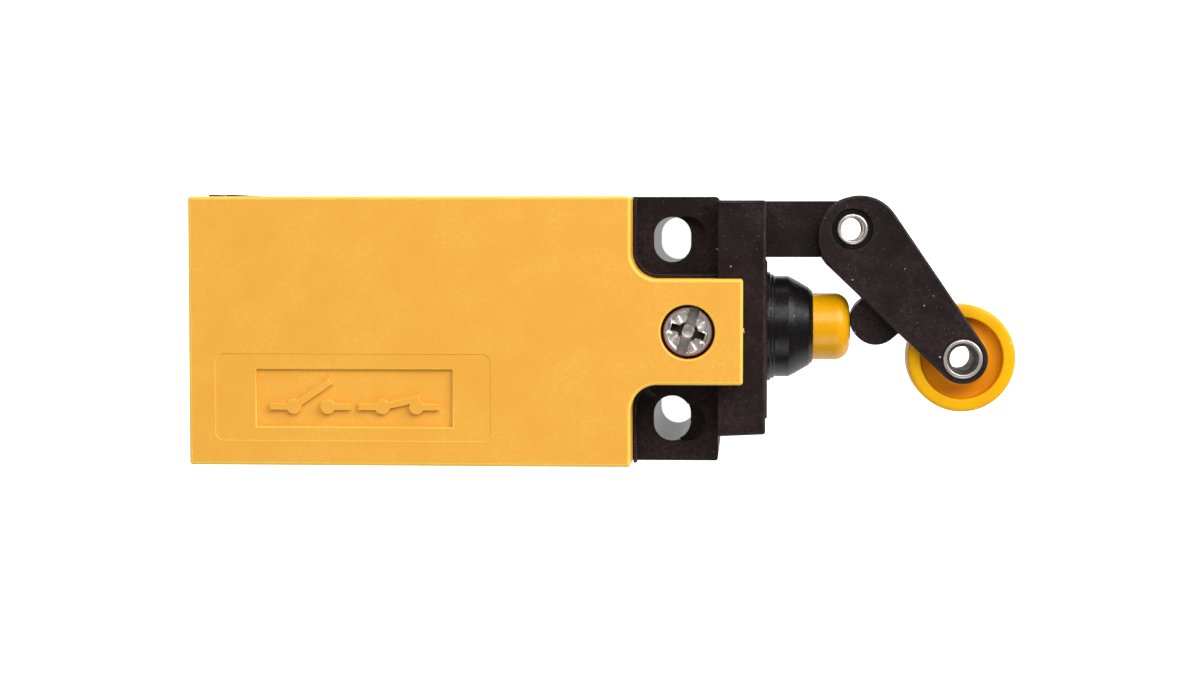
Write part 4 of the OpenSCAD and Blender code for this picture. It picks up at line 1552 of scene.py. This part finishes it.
finish(boot, "housing", "boot_rubber", "rubber_boot", angle=50)

# %% Plunger
collar_r = plunger_high.y
collar_x1 = plate_x - 4
collar_x0 = collar_x1 - 1.7
stem_r = 2.6
plunger = turned(
    "plunger_pin",
    [
        (0, plunger_low.x),
        (stem_r, plunger_low.x, 0.4),
        (stem_r, collar_x0, 0.15),
        (collar_r, collar_x0, 0.12),
        (collar_r, collar_x1, 0.12),
        (cap_r, collar_x1, 0.1),
        (cap_r, plunger_high.x - 0.12, 1.75),
        (2.0, plunger_high.x - 0.08, 0.3),
        (1.8, plunger_high.x),
        (0, plunger_high.x),
    ],
    (0, 0, axis_z),
    along="x",
    sides=96,
    steps=8,
)
finish(plunger, "plunger", "plunger_orange", "plunger", angle=50)

# %% [markdown]
# The springs are grown by the spring tree, with the turns and wire of the real ones. The plunger presses
# two of them, and these two get a mesh of their own.

# %% The four springs
def spring(name, node_name, wire_r, turns):
    low, high = span(node_name)
    made = grow(
        name,
        spring_tree,
        Coil_radius=((high.y - low.y) / 2 - wire_r) * MM,
        Wire_radius=wire_r * MM,
        Length=(high.x - low.x) * MM,
        Turns=float(turns),
        Finish=finishes["spring_steel"],
    )
    return outward(lay_along_x(made, low.x, 0, axis_z))


def pressed(piece):
    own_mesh(piece)


plunger_spring = spring("plunger_return_spring", "plunger_spring", 0.32, 7)
finish(plunger_spring, "housing", "spring_steel", "plunger_spring", angle=60)
pressed(plunger_spring)
return_spring = spring("carrier_spring", "carrier_return_spring", 0.25, 8)
finish(return_spring, "housing", "spring_steel", "carrier_return_spring", angle=60)
pressed(return_spring)
for side in ("nc", "no"):
    contact_spring = spring(side + "_bridge_spring", side + "_contact_spring", 0.2, 5)
    finish(contact_spring, "carrier", "spring_steel", side + "_contact_spring", angle=60)

# %% [markdown]
# ## The lever and its roller
# The lever is a black moulding with two cheeks. One end turns on the arm, the other holds the roller,
# and a lobe in the middle presses the plunger. Its outside edges are well rounded, since a finger or
# a machine's cam meets them, and its inside edges only a little.

# %% Lever
lever = copy_of("roller_lever", "swing_lever")
lever_low, lever_high = span("roller_lever")
lobe_half = 2.5


def on_cheek_face(p):
    return near(p.z, lever_low.z) or near(p.z, lever_high.z)


def about(p, centre):
    return math.hypot(p.x - centre.x, p.y - centre.y)


def clear_of_rivets(p, r):
    return about(p, pivot) > r and about(p, roller_at) > r


def lever_outline(a, b):
    return both(a, b, lambda p: on_cheek_face(p) and clear_of_rivets(p, 2.6))


def rivet_seat(a, b):
    return both(a, b, on_cheek_face) and not lever_outline(a, b)


def lobe_edge(a, b):
    return both(a, b, lambda p: near(abs(p.z - axis_z), lobe_half, 0.05))


def cheek_inside(a, b):
    return both(a, b, lambda p: clear_of_rivets(p, 2.2) and 2.55 < abs(p.z - axis_z) < 3.3)


def in_pivot_recess(c, n):
    return about(c, pivot) < 2.75 and 2.6 < abs(c.z - axis_z) < lever_high.z - axis_z - 0.1


round_edges(
    lever,
    [(0.28, 4, lever_outline), (0.1, 2, rivet_seat), (0.4, 3, lobe_edge), (0.12, 2, cheek_inside)],
)
# Painted shade: the recess round the pivot rivet is darkened to near black.
mark(lever, "shaded", 1.0, in_pivot_recess)
finish(lever, "lever", "black_plastic", "roller_lever")

# %% Roller
roller_low, roller_high = span("roller")
roller_r = (roller_high.x - roller_low.x) / 2
half_w = 3.0
hub = roller_high.z - roller_at.z
axle_r = 1.95
hub_r = axle_r + 1.2
rim_w, dish_depth = 1.5, 1.1
dish_r, dish = roller_r - rim_w, half_w - dish_depth
side_profile = [
    (axle_r + 0.05, hub, 0.08),
    (hub_r, hub, 0.12),
    (hub_r + 0.02, dish, 0.25),
    (dish_r - 0.1, dish, 0.35),
    (dish_r, half_w, 0.18),
    (roller_r, half_w, 0.5),
]
mirrored = [(r, -h, rounding) for r, h, rounding in reversed(side_profile)]
roller = turned("track_roller", side_profile + mirrored, roller_at, closed=True, sides=120)


def in_dish(c, n):
    return hub_r < about(c, roller_at) < dish_r + 0.05 and abs(c.z - axis_z) < half_w - 0.3


# Painted shade: the dish between hub and rim takes the roller's shade colour, a darker orange.
mark(roller, "shaded", 0.8, in_dish)
finish(roller, "roller", "roller_yellow", "roller", angle=50)

# %% [markdown]
# Both rivets are tubes whose ends are rolled over. The rolled rim catches the light as a bright ring.
# Inside it the pivot's tube has a stepped lip, and the roller's has a funnel that narrows to the bore.

# %% Rivets
def rivet(name, centre, shank, bore, head, half, seat, rim):
    """A tube with the same rim at each end. half is from the middle to the top of a rim."""
    top = [(bore, half - 1.6), *rim, (head, half, 0.22)]
    if head > shank:
        top += [(head, half - seat, 0.05), (shank, half - seat)]
    bottom = [(*corner[:1], -corner[1], *corner[2:]) for corner in reversed(top)]
    return turned(name, top + bottom, centre, closed=True, sides=64, steps=6)


pivot_r, pivot_bore, pivot_half = 1.85, 1.6, 4.5
lip = [(pivot_bore, 3.9, 0.1), (1.36, 4.15, 0.08), (1.4, pivot_half, 0.2)]
pivot_pin = rivet("pivot_rivet_tube", pivot, pivot_r, pivot_bore, pivot_r, pivot_half, 0, lip)
finish(pivot_pin, "housing", "nickel_steel", "pivot_rivet", angle=40)
axle_half = span("roller_rivet")[1].z - axis_z
axle_bore, axle_head = 1.45, 2.35
funnel = [(axle_bore + 0.01, axle_half - 1.2, 0.3), (1.85, axle_half - 0.35, 0.25), (1.88, axle_half, 0.12)]
axle = rivet("roller_rivet_tube", roller_at, axle_r, axle_bore, axle_head, axle_half, 0.6, funnel)
# Painted shade: the wall of the roller rivet's bore is darkened to near black.
mark(axle, "shaded", 0.85, lambda c, n: about(c, roller_at) < axle_bore + 0.04)
finish(axle, "lever", "nickel_steel", "roller_rivet", angle=40)

# %% [markdown]
# ## The contacts under the cover
# Lifting the cover shows the contact block: an ivory moulding with a lid, copper strips that end in
# silver tips, and clamps with slotted screws for the wires. The mouldings and strips are rounded
# copies. One slotted screw is modelled for each size, and the copies tree sets it on its four places.

# %% Mouldings, strips and tips
plain_parts = {
    "contact_block": ("block_moulding", "housing", "block_ivory", 0.2),
    "contact_block_lid": ("block_lid", "housing", "block_ivory", 0.25),
    "contact_carrier": ("sliding_carrier", "carrier", "carrier_orange", 0.2),
    "nc_contact_bridge": ("nc_bridge_strip", "carrier", "contact_copper", 0.15),
    "no_contact_bridge": ("no_bridge_strip", "carrier", "contact_copper", 0.15),
    "bridge_contact_tips": ("bridge_tips", "carrier", "contact_silver", 0.1),
    "nc_fixed_contact_left": ("nc_strip_left", "housing", "contact_copper", 0.12),
    "nc_fixed_contact_right": ("nc_strip_right", "housing", "contact_copper", 0.12),
    "no_fixed_contact_left": ("no_strip_left", "housing", "contact_copper", 0.12),
    "no_fixed_contact_right": ("no_strip_right", "housing", "contact_copper", 0.12),
    "fixed_contact_tips": ("fixed_tips", "housing", "contact_silver", 0.1),
    "terminal_clamps": ("wire_clamps", "housing", "nickel_steel", 0.2),
}
for node_name, (name, body, slot, width) in plain_parts.items():
    part = copy_of(node_name, name)
    round_edges(part, [(width, 2, lambda a, b: True)])
    finish(part, body, slot, node_name)

# %% Slotted screws, four of each
def slotted_screws(name, node_name, head_r, head_h, shank, slot_w):
    low, high = span(node_name)
    across = (low.x + head_r, high.x - head_r)
    down = (low.y + head_r, high.y - head_r)
    places = [(x, y, high.z) for x in across for y in down]
    length = high.z - low.z
    one = turned(
        name + "_one",
        [
            (0, -length),
            (shank, -length, 0.25),
            (shank, -head_h, 0.05),
            (head_r, -head_h, 0.1),
            (head_r, -0.25, 0.3),
            (head_r * 0.6, 0, 0.5),
            (0, 0),
        ],
        (0, 0, 0),
        sides=40,
    )
    slot = round_rectangle(-head_r - 1, -slot_w / 2, head_r + 1, slot_w / 2, 0.05, 1)
    carve(one, plate("slot", slot, -0.8, 1))
    round_edges(one, [(0.05, 2, lambda a, b: a.z > -0.7 and b.z > -0.7)])
    smooth(one)
    steel = finishes["nickel_steel"]
    screws = grow(name, copies_tree, places, Part=one, Most_turn=math.pi, Seed=7, Finish=steel)
    bpy.data.objects.remove(one)
    finish(screws, "housing", "nickel_steel", node_name, flat=True)


slotted_screws("terminal_screw_set", "terminal_screws", 2.4, 2.0, 1.45, 0.7)
slotted_screws("block_screw_set", "block_screws", 1.9, 1.4, 1.15, 0.6)

# %% [markdown]
# ## Table and light
# A white table fills the view and sends light up through the slots. One soft light stands at the
# roller's corner and gives the shadows their direction. A second one, high up, reaches into the deep
# ears. Two weaker ones let every rounded edge reflect something. The sky is dim, so black stays black.
# The table looks whiter to the camera than to the parts, or its glare would grey their lower edges.

# %% Table
table = as_object("table", bpy.data.meshes.new("table"))
reach = 3.0
corner_ways = ((-1, -1), (1, -1), (1, 1), (-1, 1))
table.data.from_pydata([(reach * x, reach * y, 0) for x, y in corner_ways], [], [(0, 1, 2, 3)])
table.data.transform(Matrix.Translation((0, 0, -0.02 * MM)))
white = bpy.data.materials.new("table_white")
white.use_nodes = True
table_shader = white.node_tree.nodes["Principled BSDF"].inputs
table_shader["Base Color"].default_value = (0.9, 0.9, 0.9, 1)
table_shader["Roughness"].default_value = 0.9
table_shader["Specular IOR Level"].default_value = 0.0
table_shader["Emission Color"].default_value = (1, 1, 1, 1)
seen = white.node_tree.nodes.new("ShaderNodeLightPath").outputs["Is Camera Ray"]
glow = calc(white.node_tree, "MULTIPLY_ADD", seen, 0.6, 0.4)
white.node_tree.links.new(glow, table_shader["Emission Strength"])
table.data.materials.append(white)
table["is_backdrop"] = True
print("table", 2 * reach, "m wide")

# %% Lights and sky
middle = (cad_box[0] + cad_box[1]) / 2


def soft_light(name, azimuth, elevation, distance, size, power):
    """A square light that faces the middle of the switch. Azimuth 0 stands on the -Y side."""
    light = bpy.data.objects.new(name, bpy.data.lights.new(name, "AREA"))
    bpy.context.scene.collection.objects.link(light)
    light.data.size = size
    light.data.energy = power
    a, e = math.radians(azimuth), math.radians(elevation)
    direction = Vector((math.sin(a) * math.cos(e), -math.cos(a) * math.cos(e), math.sin(e)))
    light.location = middle + direction * distance
    light.rotation_euler = direction.to_track_quat("Z", "Y").to_euler()
    light.visible_camera = False
    return light


soft_light("light_key", 130, 33, 0.65, 0.45, 3.5)
soft_light("light_left", 285, 42, 0.9, 0.5, 1.0)
soft_light("light_far", 178, 56, 0.9, 0.5, 3.0)
soft_light("light_near", 15, 42, 0.9, 0.5, 1.7)
world = bpy.data.worlds.new("sky")
bpy.context.scene.world = world
world.use_nodes = True
world.node_tree.nodes["Background"].inputs["Color"].default_value = (1, 1, 1, 1)
world.node_tree.nodes["Background"].inputs["Strength"].default_value = 0.19
bpy.context.scene.view_settings.view_transform = "Standard"
bpy.context.scene.view_settings.look = "None"
print("lights:", len(bpy.data.lights))

# %% [markdown]
# ## Sizes
# The boxes of the engineering model and of the dressed model are printed, then the number of pieces made.

# %% Sizes and finish
visual_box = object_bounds()
for label, box in (("model ", cad_box), ("dressed", visual_box)):
    print(label, [round(c / MM, 2) for c in box[0]], [round(c / MM, 2) for c in box[1]])
print("pieces made:", len(made_pieces))
